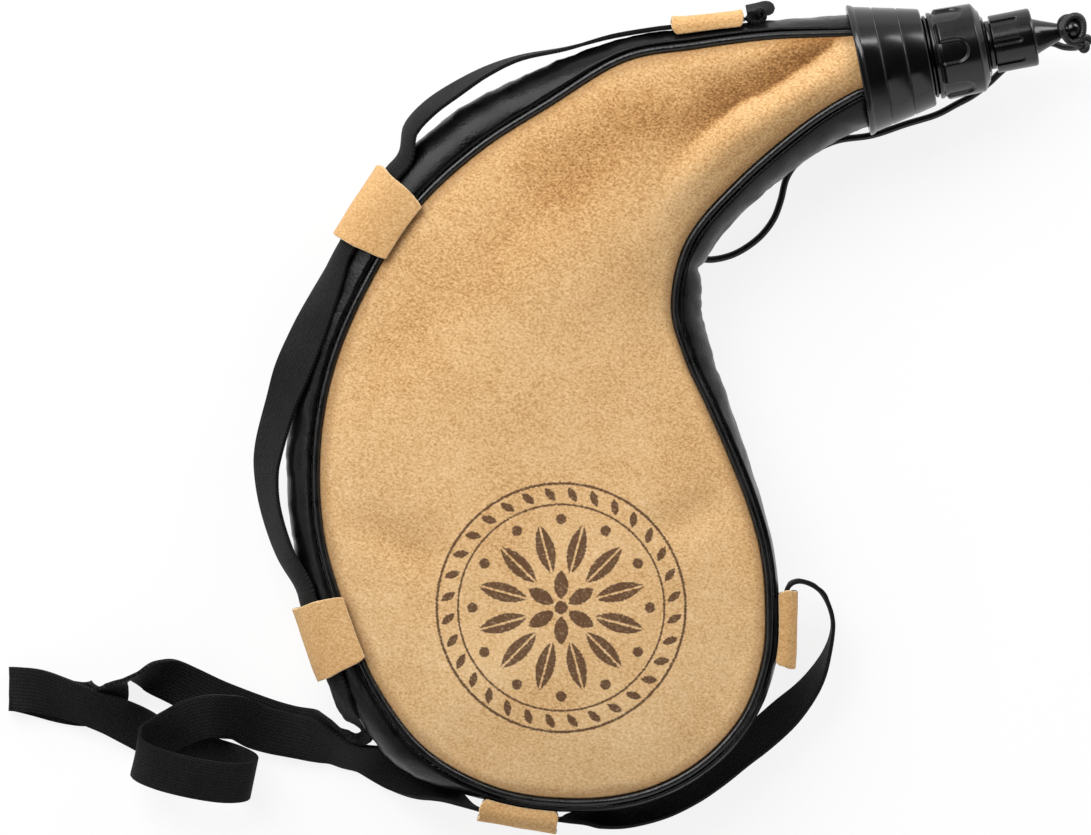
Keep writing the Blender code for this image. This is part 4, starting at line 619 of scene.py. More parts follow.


# Tan suede: split leather brushed to a short nap that lies in changing directions, with dirt and painted
# shade along the seams
# Its two darkest stops are reached mostly where shade is painted into the front face's creases
suede = {"name": "brushedSuede", "stops": [(0.0, "#75502C"), (0.2, "#966A3E"), (0.36, "#BA8C57"),
                                           (0.6, "#D8AF7B"), (0.95, "#EDCFA2")],
         "roughness": 0.95, "specular": 0.15, "sheen": 0.15, "sheenTint": "#F3DDB8", "stroke": 0.0111,
         "push": 0.0016, "combAngle": 0.5, "combShares": (0.84, 1.12, 1.0), "nap": 0.00085, "cloud": 0.026,
         "spots": 0.00385, "cloudShare": 0.26, "spotShare": 0.08, "driftAndPaintedLightShare": 0.42, "toneRange": (0.20, 0.98),
         "fibreShare": 0.4, "fibresInNap": 2.6, "strength": 0.5, "relief": 0.00035,
         "dirtAndShade": "#7E5228", "dirtAndShadeReach": (-0.003, 0.0030), "dirtAndShadeShare": 0.45, "dirtAndShadeCloud": -0.006}


def brushedSuede(suede, seam=True, printed=None):
    material = newMaterial(suede["name"], suede["stops"][-2][1], suede["roughness"],
                           {"Specular IOR Level": suede["specular"], "Sheen Weight": suede["sheen"],
                            "Sheen Tint": srgb(suede["sheenTint"])})
    place = addNode(material, "TexCoord")["Object"]
    # Strokes of the brush push the nap aside by up to a millimetre
    lay = addNode(material, "TexNoise", {"Vector": place, "Scale": 1 / suede["stroke"]})["Color"]
    lay = addNode(material, "VectorMath", [lay, (0.5, 0.5, 0.5)], operation="SUBTRACT")["Vector"]
    lay = addNode(material, "VectorMath", [lay, [suede["push"]] * 3, place],
                  operation="MULTIPLY_ADD")["Vector"]
    combed = addNode(material, "Mapping", {"Vector": lay, "Rotation": (0.0, 0.0, suede["combAngle"]),
                                           "Scale": suede["combShares"]})["Vector"]
    nap = addNode(material, "TexNoise", {"Vector": combed, "Scale": 1 / suede["nap"], "Detail": 4.0,
                                         "Roughness": 0.62})["Fac"]
    cloud = addNode(material, "TexNoise", {"Vector": place, "Scale": 1 / suede["cloud"], "Detail": 3.0,
                                           "Roughness": 0.55})["Fac"]
    spots = addNode(material, "TexNoise", {"Vector": place, "Scale": 1 / suede["spots"]})["Fac"]
    # The front face's attribute adds its random drift with painted light and painted shade
    driftAndPaintedLight = addNode(material, "Attribute", attribute_name="driftAndPaintedLight")["Fac"]
    tone = nap
    for part, share in ((cloud, suede["cloudShare"]), (spots, suede["spotShare"]), (driftAndPaintedLight, suede["driftAndPaintedLightShare"])):
        tone = addNode(material, "Math", [part, share, tone], operation="MULTIPLY_ADD")["Value"]
    tone = addNode(material, "MapRange", [tone, *suede["toneRange"]])["Result"]
    colour = addNode(material, "ValToRGB", [tone], suede["stops"])["Color"]
    if seam:
        # Dirt and painted shade darken the face along the seam; sockets 6 and 7 of a mix are its two colours
        spot = addNode(material, "UVMap", uv_map="UVMap")["UV"]
        away = addNode(material, "SeparateXYZ", [spot])["Y"]
        away = addNode(material, "Math", [cloud, suede["dirtAndShadeCloud"], away], operation="MULTIPLY_ADD")["Value"]
        dirtAndShade = addNode(material, "MapRange", [away, *suede["dirtAndShadeReach"], suede["dirtAndShadeShare"], 0.0],
                       interpolation_type="SMOOTHERSTEP")["Result"]
        colour = addNode(material, "Mix", {"Factor": dirtAndShade, 6: colour, 7: srgb(suede["dirtAndShade"])},
                         data_type="RGBA")[2]
    if printed:
        colour = printed(material, place, colour, nap)
    fibre = addNode(material, "TexNoise", {"Vector": combed, "Scale": suede["fibresInNap"] / suede["nap"],
                                           "Detail": 3.0})["Fac"]
    relief = addNode(material, "Math", [fibre, suede["fibreShare"], nap], operation="MULTIPLY_ADD")["Value"]
    feed(material, {
        "Base Color": colour,
        "Normal": addNode(material, "Bump", {"Height": relief, "Strength": suede["strength"],
                                             "Distance": suede["relief"]})["Normal"]})
    return material


# Brown ink stamped on the nap: two rings, slanted leaves, beads and a rosette, worn where fibres stand up
stamp = {"middle": (-0.0464, -0.0673), "ink": "#4E3023", "edge": 0.00016, "bleed": 0.00042, "ragged": 0.0009,
         "wear": (0.74, 0.54, 0.58, 0.90), "rings": [(0.0446, 0.0005), (0.0370, 0.0004)],
         "marks": [{"count": 32, "place": 0.0408, "half": 0.0030, "width": 0.0014, "slant": 0.607},
                   {"count": 12, "place": 0.0318, "half": 0.0019, "width": 0.0019, "turn": 0.0},
                   {"count": 12, "place": 0.0216, "half": 0.0092, "width": 0.0033, "vein": 0.00032},
                   {"count": 6, "place": 0.0082, "half": 0.0052, "width": 0.0026},
                   {"count": 1, "place": 0.0, "half": 0.0024, "width": 0.0024}]}


def inkStamp(material, place, colour, nap):
    x, y = stamp["middle"]
    flat = addNode(material, "VectorMath", [place, (1.0, 1.0, 0.0), (-x, -y, 0.0)],
                   operation="MULTIPLY_ADD")["Vector"]
    parts = addNode(material, "SeparateXYZ", [flat])
    angle = addNode(material, "Math", [parts["Y"], parts["X"]], operation="ARCTAN2")["Value"]
    radius = addNode(material, "VectorMath", [flat], operation="LENGTH")["Value"]
    distances = []
    for ring, width in stamp["rings"]:
        away = addNode(material, "Math", [radius, ring], operation="SUBTRACT")["Value"]
        away = addNode(material, "Math", [away], operation="ABSOLUTE")["Value"]
        distances.append(addNode(material, "Math", [away, width], operation="SUBTRACT")["Value"])
    for mark in stamp["marks"]:
        # All slices are turned onto the first one, and a mark is a leaf inside two circles that cross
        step = 2 * math.pi / mark["count"]
        turn = mark.get("turn", 0.5)
        bow = (mark["half"] ** 2 - mark["width"] ** 2) / (2 * mark["width"])
        ahead = addNode(material, "Math", [angle, step * (0.5 - turn)], operation="ADD")["Value"]
        cell = addNode(material, "Math", [ahead, step], operation="SNAP")["Value"]
        back = addNode(material, "Math", [cell, -1.0, -step * turn], operation="MULTIPLY_ADD")["Value"]
        spot = addNode(material, "VectorRotate", {"Vector": flat, "Angle": back},
                       rotation_type="Z_AXIS")["Vector"]
        spot = addNode(material, "Mapping", {"Vector": spot, "Location": (mark["place"], 0.0, 0.0),
                                             "Rotation": (0.0, 0.0, mark.get("slant", 0.0))},
                       vector_type="TEXTURE")["Vector"]
        spot = addNode(material, "VectorMath", [spot], operation="ABSOLUTE")["Vector"]
        reach = addNode(material, "VectorMath", [spot, (0.0, bow, 0.0)], operation="ADD")["Vector"]
        reach = addNode(material, "VectorMath", [reach], operation="LENGTH")["Value"]
        away = addNode(material, "Math", [reach, bow + mark["width"]], operation="SUBTRACT")["Value"]
        if "vein" in mark:
            side = addNode(material, "SeparateXYZ", [spot])["Y"]
            vein = addNode(material, "Math", [mark["vein"], side], operation="SUBTRACT")["Value"]
            away = addNode(material, "Math", [away, vein], operation="MAXIMUM")["Value"]
        distances.append(away)
    nearest = distances[0]
    for away in distances[1:]:
        nearest = addNode(material, "Math", [nearest, away], operation="MINIMUM")["Value"]
    nearest = addNode(material, "Math", [nearest, stamp["bleed"]], operation="SUBTRACT")["Value"]
    ragged = addNode(material, "Math", [nap, stamp["ragged"], nearest], operation="MULTIPLY_ADD")["Value"]
    inked = addNode(material, "MapRange", [ragged, stamp["edge"], -stamp["edge"]])["Result"]
    worn = addNode(material, "MapRange", [nap, *stamp["wear"]])["Result"]
    factor = addNode(material, "Math", [inked, worn], operation="MULTIPLY")["Value"]
    return addNode(material, "Mix", {"Factor": factor, 6: colour, 7: srgb(stamp["ink"])}, data_type="RGBA")[2]


# Cut leather edge: paler than the face, with loose fibres
cutEdge = {"name": "cutSuedeEdge", "colour": "#F0DAB4", "roughness": 0.95, "size": 0.000714,
           "noise": {"Detail": 4.0}, "stops": [(0.3, "#C79C68"), (0.7, "#F0DAB4")], "relief": (0.5, 0.0003)}
# Black coated cloth: a smooth glossy film over cloth, with a faint pressed grain and fine creases
gloss = {"name": "coatedCloth", "colour": "#060607", "roughness": 0.3, "size": 0.00833,
         "sockets": {"Specular IOR Level": 0.25, "Specular Tint": (0.8, 0.8, 0.8, 1.0)},
         "noise": {"Detail": 4.0, "Roughness": 0.6, "Distortion": 0.4},
         "stops": [(0.35, "#060607"), (0.75, "#0E0E10")], "shine": (0.3, 0.7, 0.24, 0.4),
         "skin": ("TexVoronoi", "Distance", 0.0009, {"feature": "SMOOTH_F1"}), "flowShare": 2.5,
         "relief": (0.25, 0.0003)}
# Soft liner film: milky, smooth plastic
film = {"name": "linerFilm", "colour": "#C4C3BC", "roughness": 0.35, "size": 0.0167, "noise": {"Detail": 3.0},
        "stops": [(0.3, "#B4B3AB"), (0.7, "#C4C3BC")], "relief": (0.15, 0.0004)}

faceSuede = brushedSuede(dict(suede, name="stampedSuede"), printed=inkStamp)
backSuede = brushedSuede(suede)
loopStops = suede["stops"][:3] + [(0.6, "#CEA36E"), (0.95, "#E4C293")]
loopSuede = brushedSuede(dict(suede, name="loopSuede", stops=loopStops), seam=False)
edgeSuede = plainFinish(cutEdge)
coated = plainFinish(gloss)
# Stretched over the piping the film shines more
stretched = plainFinish(dict(gloss, name="stretchedCoatedCloth", sockets={"Specular IOR Level": 0.5}))
filmFinish = plainFinish(film)
print("leather and cloth finishes made")

# Creases of the front face: their lines in metres with the depth at each point (raised where negative), the
# widths of both flanks, and how much shade is painted along them, with its reach to the left and right
creases = [
    {"line": [(0.0600, 0.1450, 0.0014), (0.0551, 0.1404, 0.0026), (0.0482, 0.1336, 0.0042),
              (0.0418, 0.1282, 0.0050), (0.0349, 0.1238, 0.0050), (0.0266, 0.1184, 0.0046),
              (0.0173, 0.1145, 0.0039), (0.0061, 0.1062, 0.0028), (-0.0061, 0.0940, 0.0016),
              (-0.0140, 0.0806, 0.0008), (-0.0194, 0.0641, 0.0)],
     "left": 0.0044, "right": 0.0105, "turn": (0.80, 0.0012, 0.0105)},
    {"line": [(0.0300, 0.1210, 0.0), (0.0080, 0.1150, 0.0016), (-0.0166, 0.1060, 0.0024),
              (-0.0400, 0.0900, 0.0022), (-0.0620, 0.0700, 0.0018), (-0.0914, 0.0430, 0.0016),
              (-0.1150, 0.0180, 0.0008), (-0.1250, 0.0060, 0.0)],
     "left": 0.0150, "right": 0.0170, "turn": (1.0, 0.0150, 0.0200)},
    {"line": [(0.0640, 0.1330, -0.0004), (0.0484, 0.1194, -0.0010), (0.0332, 0.1096, -0.0012),
              (0.0140, 0.0987, -0.0012), (0.0010, 0.0860, -0.0009), (-0.0060, 0.0740, 0.0)],
     "left": 0.0060, "right": 0.0050, "turn": (-1.2, 0.0070, 0.0080)},
    {"line": [(-0.1260, -0.0330, 0.0), (-0.1120, -0.0400, 0.0013), (-0.0980, -0.0470, 0.0015),
              (-0.0830, -0.0480, 0.0)],
     "left": 0.0080, "right": 0.0080, "turn": (1.0, 0.0030, 0.0100)},
    {"line": [(0.0160, -0.0260, 0.0), (0.0040, -0.0330, 0.0013), (-0.0080, -0.0380, 0.0011),
              (-0.0200, -0.0380, 0.0)],
     "left": 0.0070, "right": 0.0080, "turn": (1.0, 0.0030, 0.0100)},
]
waves = {"broad": 0.0007, "broadSize": 0.034, "fine": 0.00016, "fineSize": 0.009, "frontSeed": 3.0,
         "backSeed": 9.0, "pucker": 0.00035, "puckerStep": 0.005, "puckerReach": 0.012, "puckerSeed": 1.7}
# Front face tone: painted light below a height, a slow random drift, painted shade full at a depth of crease
driftAndPaintedLightSizes = {"paintedLightBelow": 0.15, "paintedLightFrom": -0.02, "paintedLightOver": 0.1, "drift": 0.10, "driftSize": 0.038,
          "seed": 4.0, "fullShadeDepth": 0.0035, "spread": 0.003, "fall": 1.6}


def nearestOn(crease, x, y):
    # Distance to a crease from each of many places, whether they lie to its left, and its depth there
    line = np.array(crease["line"])
    nearest, left, depth = np.full_like(x, 1.0), np.zeros_like(x, dtype=bool), np.zeros_like(x)
    for start, end in zip(line, line[1:]):
        step = end - start
        run = ((x - start[0]) * step[0] + (y - start[1]) * step[1]) / step[:2].dot(step[:2])
        run = np.clip(run, 0.0, 1.0)
        offX, offY = x - start[0] - run * step[0], y - start[1] - run * step[1]
        away = np.hypot(offX, offY)
        closer = away < nearest
        nearest = np.where(closer, away, nearest)
        left = np.where(closer, step[0] * offY - step[1] * offX > 0, left)
        depth = np.where(closer, start[2] + run * step[2], depth)
    return nearest, left, depth


def creaseHeight(x, y):
    total = np.zeros_like(x)
    for crease in creases:
        away, left, depth = nearestOn(crease, x, y)
        total -= depth * np.exp(-(away / np.where(left, crease["left"], crease["right"])) ** 2)
    return total


# The front face's random drift of tone, with painted light and painted shade added
def driftAndPaintedLightAt(x, y):
    # Painted light: the face is paler below a height
    total = driftAndPaintedLightSizes["paintedLightBelow"] * np.clip((driftAndPaintedLightSizes["paintedLightFrom"] - y) / driftAndPaintedLightSizes["paintedLightOver"], 0.0, 1.0)
    size, seed = driftAndPaintedLightSizes["driftSize"], driftAndPaintedLightSizes["seed"]
    drift = [noise.noise(Vector((a / size, b / size, seed))) for a, b in zip(x, y)]
    total += driftAndPaintedLightSizes["drift"] * np.array(drift)
    # Painted shade along each crease
    for crease in creases:
        away, left, depth = nearestOn(crease, x, y)
        paintedShade, leftReach, rightReach = crease["turn"]
        share = np.clip(depth / driftAndPaintedLightSizes["fullShadeDepth"], -1.0, 1.0)
        reach = np.where(left, leftReach + driftAndPaintedLightSizes["spread"] * (1 - abs(share)), rightReach)
        total -= paintedShade * share * abs(share) * np.exp(-(away / reach) ** driftAndPaintedLightSizes["fall"])
    return total


def waveHeight(table, seed):
    # Slow swells and small dents of soft leather
    heights = []
    for point in table.reshape(-1, 3):
        spot = Vector(point) / waves["broadSize"] + Vector((seed, 0.0, 0.0))
        small = Vector(point) / waves["fineSize"] + Vector((0.0, seed, 0.0))
        heights.append(waves["broad"] * noise.noise(spot) + waves["fine"] * noise.noise(small))
    return np.array(heights).reshape(table.shape[:2])


def puckerHeight(along, fromSeam, seed):
    # Small gathers square to the seam, which fade out over the first centimetre
    swings = np.array([noise.noise(Vector((place / waves["puckerStep"], seed, 0.0))) for place in along])
    return waves["pucker"] * swings[:, None] * np.exp(-(fromSeam / waves["puckerReach"]) ** 2)


# How finely the bag's pieces are made; rows crowd at the seam, where the face is held flat over two reaches
body = {"columns": 480, "rows": 44, "stripRows": 24, "linerColumns": 96, "pipingColumns": 360,
        "pipingSides": 16, "crowding": 1.35, "held": 0.006, "pinched": 0.002, "meeting": 6}
rows = outlineRows()


def stationsAt(columns):
    return [Station(rows, place) for place in np.linspace(0.0, len(rows) - 3.0, columns + 1)]


def alongSeam(stations):
    steps = [0.0] + [(b.seam - a.seam).length for a, b in zip(stations, stations[1:])]
    return np.cumsum(steps)


stations = stationsAt(body["columns"])


def panelTable(side):
    # Close rows at the seam, wider ones at the middle line
    shares = np.linspace(0.0, 1.0, body["rows"] + 1) ** body["crowding"]
    table = np.array([[station.panel(share, side) for share in shares] for station in stations])
    fromSeam = np.linalg.norm(table[:, :, :2] - table[:, :1, :2], axis=2)
    if side > 0:
        lift = creaseHeight(table[:, :, 0], table[:, :, 1]) + waveHeight(table, waves["frontSeed"])
    else:
        lift = np.minimum(waveHeight(table, waves["backSeed"]), 0.0)
    gathers = puckerHeight(alongSeam(stations), fromSeam, waves["puckerSeed"] * side)
    lift = lift * (1 - np.exp(-(fromSeam / body["held"]) ** 2))
    lift += gathers * (1 - np.exp(-(fromSeam / body["pinched"]) ** 2))
    # Both halves meet at one height on the middle line
    lift += (lift[::-1, -1:] - lift[:, -1:]) / 2 * shares ** body["meeting"]
    table[:, :, 2] += lift if side > 0 else np.maximum(-lift, 0.0)
    return table


def rideOn(piece, rider, node):
    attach(piece, rider)
    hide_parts(node)


frontPanel = newPiece("frontFace", mappedGrid(panelTable(1)), faceSuede)
# The face carries its drift of tone, painted light and painted shade as an attribute
places = np.array([vertex.co[:2] for vertex in frontPanel.data.vertices])
driftAndPaintedLight = frontPanel.data.attributes.new("driftAndPaintedLight", "FLOAT", "POINT")
driftAndPaintedLight.data.foreach_set("value", driftAndPaintedLightAt(places[:, 0], places[:, 1]))
rideOn(thicken(frontPanel, bag["suede"], -1, edgeSuede), "bag", "front_panel")
backPanel = newPiece("backFace", mappedGrid(panelTable(-1), flip=True), backSuede)
rideOn(thicken(backPanel, bag["suede"], -1, edgeSuede), "bag", "back_panel")
print("faces made")

# Folds of the side strip on the inner curve: place in metres, how far they stand out and their width
folds = [(0.0090, 0.0620, 0.0018, 0.0055), (0.0030, 0.0545, -0.0030, 0.0022),
         (0.0052, 0.0455, 0.0012, 0.0040), (0.0040, 0.0390, -0.0008, 0.0030),
         (0.0250, 0.0790, -0.0010, 0.0040), (0.0480, 0.0960, 0.0008, 0.0050),
         (-0.1440, 0.0100, 0.0007, 0.0060), (-0.1230, -0.1030, -0.0012, 0.0050),
         (-0.1060, -0.1210, 0.0008, 0.0050)]
# Its wrinkles: steps along the seam and across the strip, seeds and shares, and the bulge where they are full
wrinkles = {"height": 0.0007, "fullBulge": 0.006, "foldSoft": 0.25, "fades": (0.6, 0.7),
            "swings": [(0.008, 1.2, 5.0, 1.0), (0.0035, 2.5, 8.0, 0.6)]}


def foldHeight(station):
    edge = station.point(station.bulge, 0.0)
    total = 0.0
    for x, y, height, width in folds:
        away = math.hypot(edge.x - x, edge.y - y) / width
        total += height * math.exp(-away * away / (wrinkles["foldSoft"] + away))
    return total


def stripTable():
    table = []
    swingFade, foldFade = wrinkles["fades"]
    for place, station in zip(alongSeam(stations), stations):
        fold, full = foldHeight(station), min(1.0, station.bulge / wrinkles["fullBulge"])
        column = []
        for share in np.linspace(-1.0, 1.0, body["stripRows"] + 1):
            swing = sum(part * noise.noise(Vector((place / step, share * across, seed)))
                        for step, across, seed, part in wrinkles["swings"])
            lift = swing * wrinkles["height"] * full * (1 - share ** 2) ** swingFade
            lift += fold * (1 - share ** 2) ** foldFade
            column.append(station.strip(share) + station.outward * lift)
        table.append(column)
    return table


strip = newPiece("sideStrip", mappedGrid(stripTable()), coated)
rideOn(thicken(strip, bag["strip"], 1), "bag", "side_gusset")
for name, node, side in (("frontPiping", "front_piping", 1), ("backPiping", "back_piping", -1)):
    line = [station.point(0.0, side * station.half) for station in stationsAt(body["pipingColumns"])]
    piping = newPiece(name, sweptTube(line, bag["piping"], body["pipingSides"]), stretched)
    rideOn(piping, "bag", node)
print("side strip and piping made")

# The liner, a smooth film bag inside the leather, gathered onto the neck tube
liner = {"inset": bag["suede"] + 2 * bag["play"], "underSeam": bag["piping"] + 2 * bag["play"], "rings": 24,
         "radius": 0.0151, "neckRise": 0.0090, "faceShares": np.linspace(0.12, 1.0, 9),
         "sideShares": (-0.6, -0.3, 0.0, 0.3, 0.6), "gather": 6}


def linerRing(middle, outward):
    up = Vector((0.0, 0.0, 1.0))
    angles = [math.pi * (row / liner["rings"] - 0.5) for row in range(liner["rings"] + 1)]
    return [middle + (outward * math.cos(angle) + up * math.sin(angle)) * liner["radius"] for angle in angles]


def linerTable():
    shares = liner["faceShares"]
    inner = stationsAt(body["linerColumns"])
    columns = []
    for index, station in enumerate(inner):
        edge = station.half - liner["underSeam"]
        side = [station.strip(share, bag["play"]) for share in liner["sideShares"]]
        shaped = ([station.panel(share, -1, liner["inset"]) for share in reversed(shares)]
                  + [station.point(0.0, -edge), *side, station.point(0.0, edge)]
                  + [station.panel(share, 1, liner["inset"]) for share in shares])
        blend = max(0.0, 1 - min(index, len(inner) - 1 - index) / liner["gather"])
        ring = linerRing(station.middle + Vector((0.0, 0.0, station.height)), station.outward)
        columns.append([spot.lerp(target, blend) for spot, target in zip(shaped, ring)])
    # Below a crease of the face the liner is pressed in with it
    front = np.array(columns)[:, -len(shares):]
    for column, dents in zip(columns, np.minimum(creaseHeight(front[:, :, 0], front[:, :, 1]), 0.0)):
        for spot, dent in zip(column[-len(shares):], dents):
            spot.z += dent
    necks = [neckPoint + axis * (bag["tuck"] + liner["neckRise"] * share) for share in (1.0, 0.5)]
    upper = [linerRing(middle, sideways) for middle in necks]
    lower = [linerRing(middle, -sideways) for middle in reversed(necks)]
    return upper + columns + lower


linerPiece = thicken(newPiece("liner", mappedGrid(linerTable()), filmFinish), bag["liner"], -1)
rideOn(linerPiece, "bag", "bladder")

# Belt loops of the same suede, bent over the side strip; one over the seams is fuller than one between them
loops = {"width": 0.0262, "leather": 0.0018, "half": 0.0104, "columns": 26, "rows": 64, "lap": 0.0009,
         "overPower": 3.0, "betweenPower": 4.5, "flare": 0.0005, "swell": 0.0005, "wander": 0.0007,
         "corner": 0.0012, "edge": 0.0005, "edgeSteps": 3, "edgeAngle": 50.0, "seedStep": 2.3}
# Place on the outline, whether a loop lies over the seams, and the room under it
loopPlaces = [("loopTop", "loop_top", 2.80, False, 0.0025),
              ("loopShoulder", "loop_shoulder", 7.24, True, 0.0030),
              ("loopHip", "loop_hip", 12.27, True, 0.0030), ("loopBase", "loop_base", 15.39, False, 0.0056),
              ("loopSide", "loop_side", 20.55, False, 0.0046)]


def loopTable(place, overSeams, room, seed):
    spacing = Station(rows, place).spacing
    table = []
    for column in range(loops["columns"] + 1):
        share = column / loops["columns"] - 0.5
        station = Station(rows, place + loops["width"] * share / spacing)
        if overSeams:
            start, half = bag["gap"] - station.lean - loops["lap"], station.half + seamOffset
            power = loops["overPower"]
        else:
            start, half = station.outside(loops["half"]) + bag["gap"], loops["half"]
            power = loops["betweenPower"]
        reach = station.outside() + room - start + loops["flare"] * (2 * share) ** 4
        spots = []
        for run in np.linspace(0.0, 1.0, loops["rows"] + 1):
            angle = math.pi * (run - 0.5)
            out = 0.0 if run in (0.0, 1.0) else math.cos(angle) ** (2 / power)
            up = math.copysign(abs(math.sin(angle)) ** (2 / power), angle)
            swell = loops["swell"] * noise.noise(Vector((share * 3.0, run * 4.0, seed)))
            wander = loops["wander"] * noise.noise(Vector((run * 6.0, seed, share)))
            corner = loops["corner"] * (1 - out) ** 6
            spot = station.point(start + (reach + swell) * out, half * up)
            spots.append(spot + station.along * abs(2 * share) ** 6 * (wander - math.copysign(corner, share)))
        table.append(spots)
    return table


for index, (name, node, place, overSeams, room) in enumerate(loopPlaces):
    loop = newPiece(name, mappedGrid(loopTable(place, overSeams, room, loops["seedStep"] * index)), loopSuede)
    thicken(loop, loops["leather"], 1, edgeSuede)
    rideOn(roundEdges(loop, loops["edge"], loops["edgeSteps"], loops["edgeAngle"]), "bag", node)
print("liner and belt loops made")

# Injection moulded plastic: near black, satin, with faint flow marks and a slightly orange-peel skin
plastic = {"name": "mouldedPlastic", "colour": "#070707", "roughness": 0.3, "size": 0.0143,
           "noise": {"Detail": 5.0, "Roughness": 0.6}, "stops": [(0.3, "#070707"), (0.75, "#0E0E0F")],
           "shine": (0.3, 0.7, 0.14, 0.26), "skin": ("TexNoise", "Fac", 0.00111, {}), "flowShare": 2.0,
           "relief": (0.08, 0.0002)}
# The same plastic painted pale: a painted highlight along the collar's moulded grooves
paintedHighlight = dict(plastic, name="paintedHighlightPlastic", colour="#4A4A48", stops=[(0.3, "#4A4A48"), (0.75, "#8C8C88")],
             shine=(0.3, 0.7, 0.3, 0.5))
# Rolled steel band: bright grey, with a fine grain that breaks its shine
steel = {"name": "rolledSteel", "colour": "#CBCAC6", "roughness": 0.35, "sockets": {"Metallic": 1.0},
         "size": 0.000667, "noise": {"Detail": 2.0}, "shine": (0.0, 1.0, 0.25, 0.45), "relief": (0.1, 0.0001)}
# Nitrile rubber washer: dark grey, dull, a little powdery
rubber = {"name": "washerRubber", "colour": "#3A3A3A", "roughness": 0.75, "size": 0.002,
          "noise": {"Detail": 4.0}, "stops": [(0.3, "#303030"), (0.75, "#4A4A4A")]}
hardBlack, paintedHighlightFinish, band, washer = [plainFinish(finish) for finish in (plastic, paintedHighlight, steel, rubber)]

# The mouthpiece's sizes in metres, its heights counted from the collar's rim along its axis
mouth = {"steps": 144, "capSteps": 300, "smallSteps": 280, "round": 0.00025, "collarRound": 0.00012,
         "capRound": 0.00018, "smallRound": 0.0002, "roundSteps": 3, "sharp": 28.0, "merge": 0.00001,
         "lipWidth": 0.0024, "grooves": (0.34, 0.68), "grooveWidth": 0.0008, "grooveDepth": 0.0004,
         "grooveFloor": 0.1, "paintedHighlight": 0.0002, "collarEdge": 0.0005,
         "tube": 0.0138, "tubeWall": 0.0020, "tail": 0.0035, "flange": 0.0020, "bead": 0.0150,
         "beadWidth": 0.0016, "neckRise": 0.0122, "clampWall": 0.0012, "clampWidth": 0.0030, "play": 0.0004,
         "cap": 0.0165, "capTaper": 0.0004, "capEnd": 0.0010, "skirt": 0.0157, "skirtWidth": 0.0018,
         "skirtGroove": 0.0006, "capEdge": 0.0006, "shoulder": 0.0109, "step": 0.0006, "rise": 0.0029,
         "flutes": 6, "fluteWidth": 0.0084, "fluteDepth": 0.0010, "fluteEnd": 0.0044, "fluteInside": 0.0001,
         "fluteSoft": 0.0007, "capSplit": 0.0004, "seal": 0.0015, "sealWidth": 0.0038, "spout": 0.0080,
         "spoutRing": 0.0088, "ring": 0.0016, "stub": 0.0076, "spoutWall": 0.0016, "spoutFlange": 0.0015,
         "stubLength": 0.0108, "tip": 0.0030, "tipLength": 0.0020, "jet": 0.0011, "jetLength": 0.0040,
         "smallCap": 0.0105, "smallTop": 0.0026, "smallEdge": 0.0008, "edgeShare": 0.3, "smallSeal": 0.0013,
         "slots": 8, "slotWidth": 0.0020, "slotDepth": 0.0008, "slotEnd": 0.0048, "slotBelow": 0.001,
         "slotInside": 0.0009, "slotSoft": 0.0005, "smallSplit": 0.0003, "cone": 0.0070, "coneLength": 0.0093,
         "waist": 0.0026, "waistLength": 0.0030, "knob": 0.0032, "knobSteps": 14, "coneEnd": 0.0032,
         "coneDrop": 0.0004, "coneShares": ((0.47, 0.92), (0.62, 0.62), (0.77, 0.32), (0.90, 0.08),
                                            (0.95, 0.02), (1.0, 0.0))}
gap = bag["gap"]
shelf = bag["collarLength"] - bag["collarWall"]
beadBottom = bag["collarLength"] + gap
beadTop = beadBottom + mouth["beadWidth"]
capBottom = beadTop + gap
tubeTop = beadTop + mouth["neckRise"]
sealBottom = tubeTop + gap
spoutBottom = sealBottom + mouth["seal"] + gap
capCeiling = spoutBottom + mouth["spoutFlange"] + gap
shoulderHeight = capCeiling + mouth["capEnd"]
capTop = shoulderHeight + mouth["rise"]
stubBottom = capTop + gap + mouth["ring"]
smallBottom = stubBottom + gap
stubTop = stubBottom + mouth["stubLength"]
tipTop = stubTop + mouth["tipLength"]
smallSealBottom = stubTop + gap
smallCeiling = smallSealBottom + mouth["smallSeal"] + gap
tipPocket = max(tipTop, smallCeiling) + gap
smallTop = smallCeiling + mouth["smallTop"]
waistHeight = smallTop + mouth["coneLength"]
knobHeight = waistHeight + mouth["waistLength"] + math.sqrt(mouth["knob"] ** 2 - mouth["waist"] ** 2)


def subdivided(start, end, longest):
    # A long straight run split, so that a moulded pattern has points to move
    count = max(1, math.ceil(math.dist(start, end) / longest))
    return [(start[0] + (end[0] - start[0]) * step / count, start[1] + (end[1] - start[1]) * step / count)
            for step in range(count + 1)]


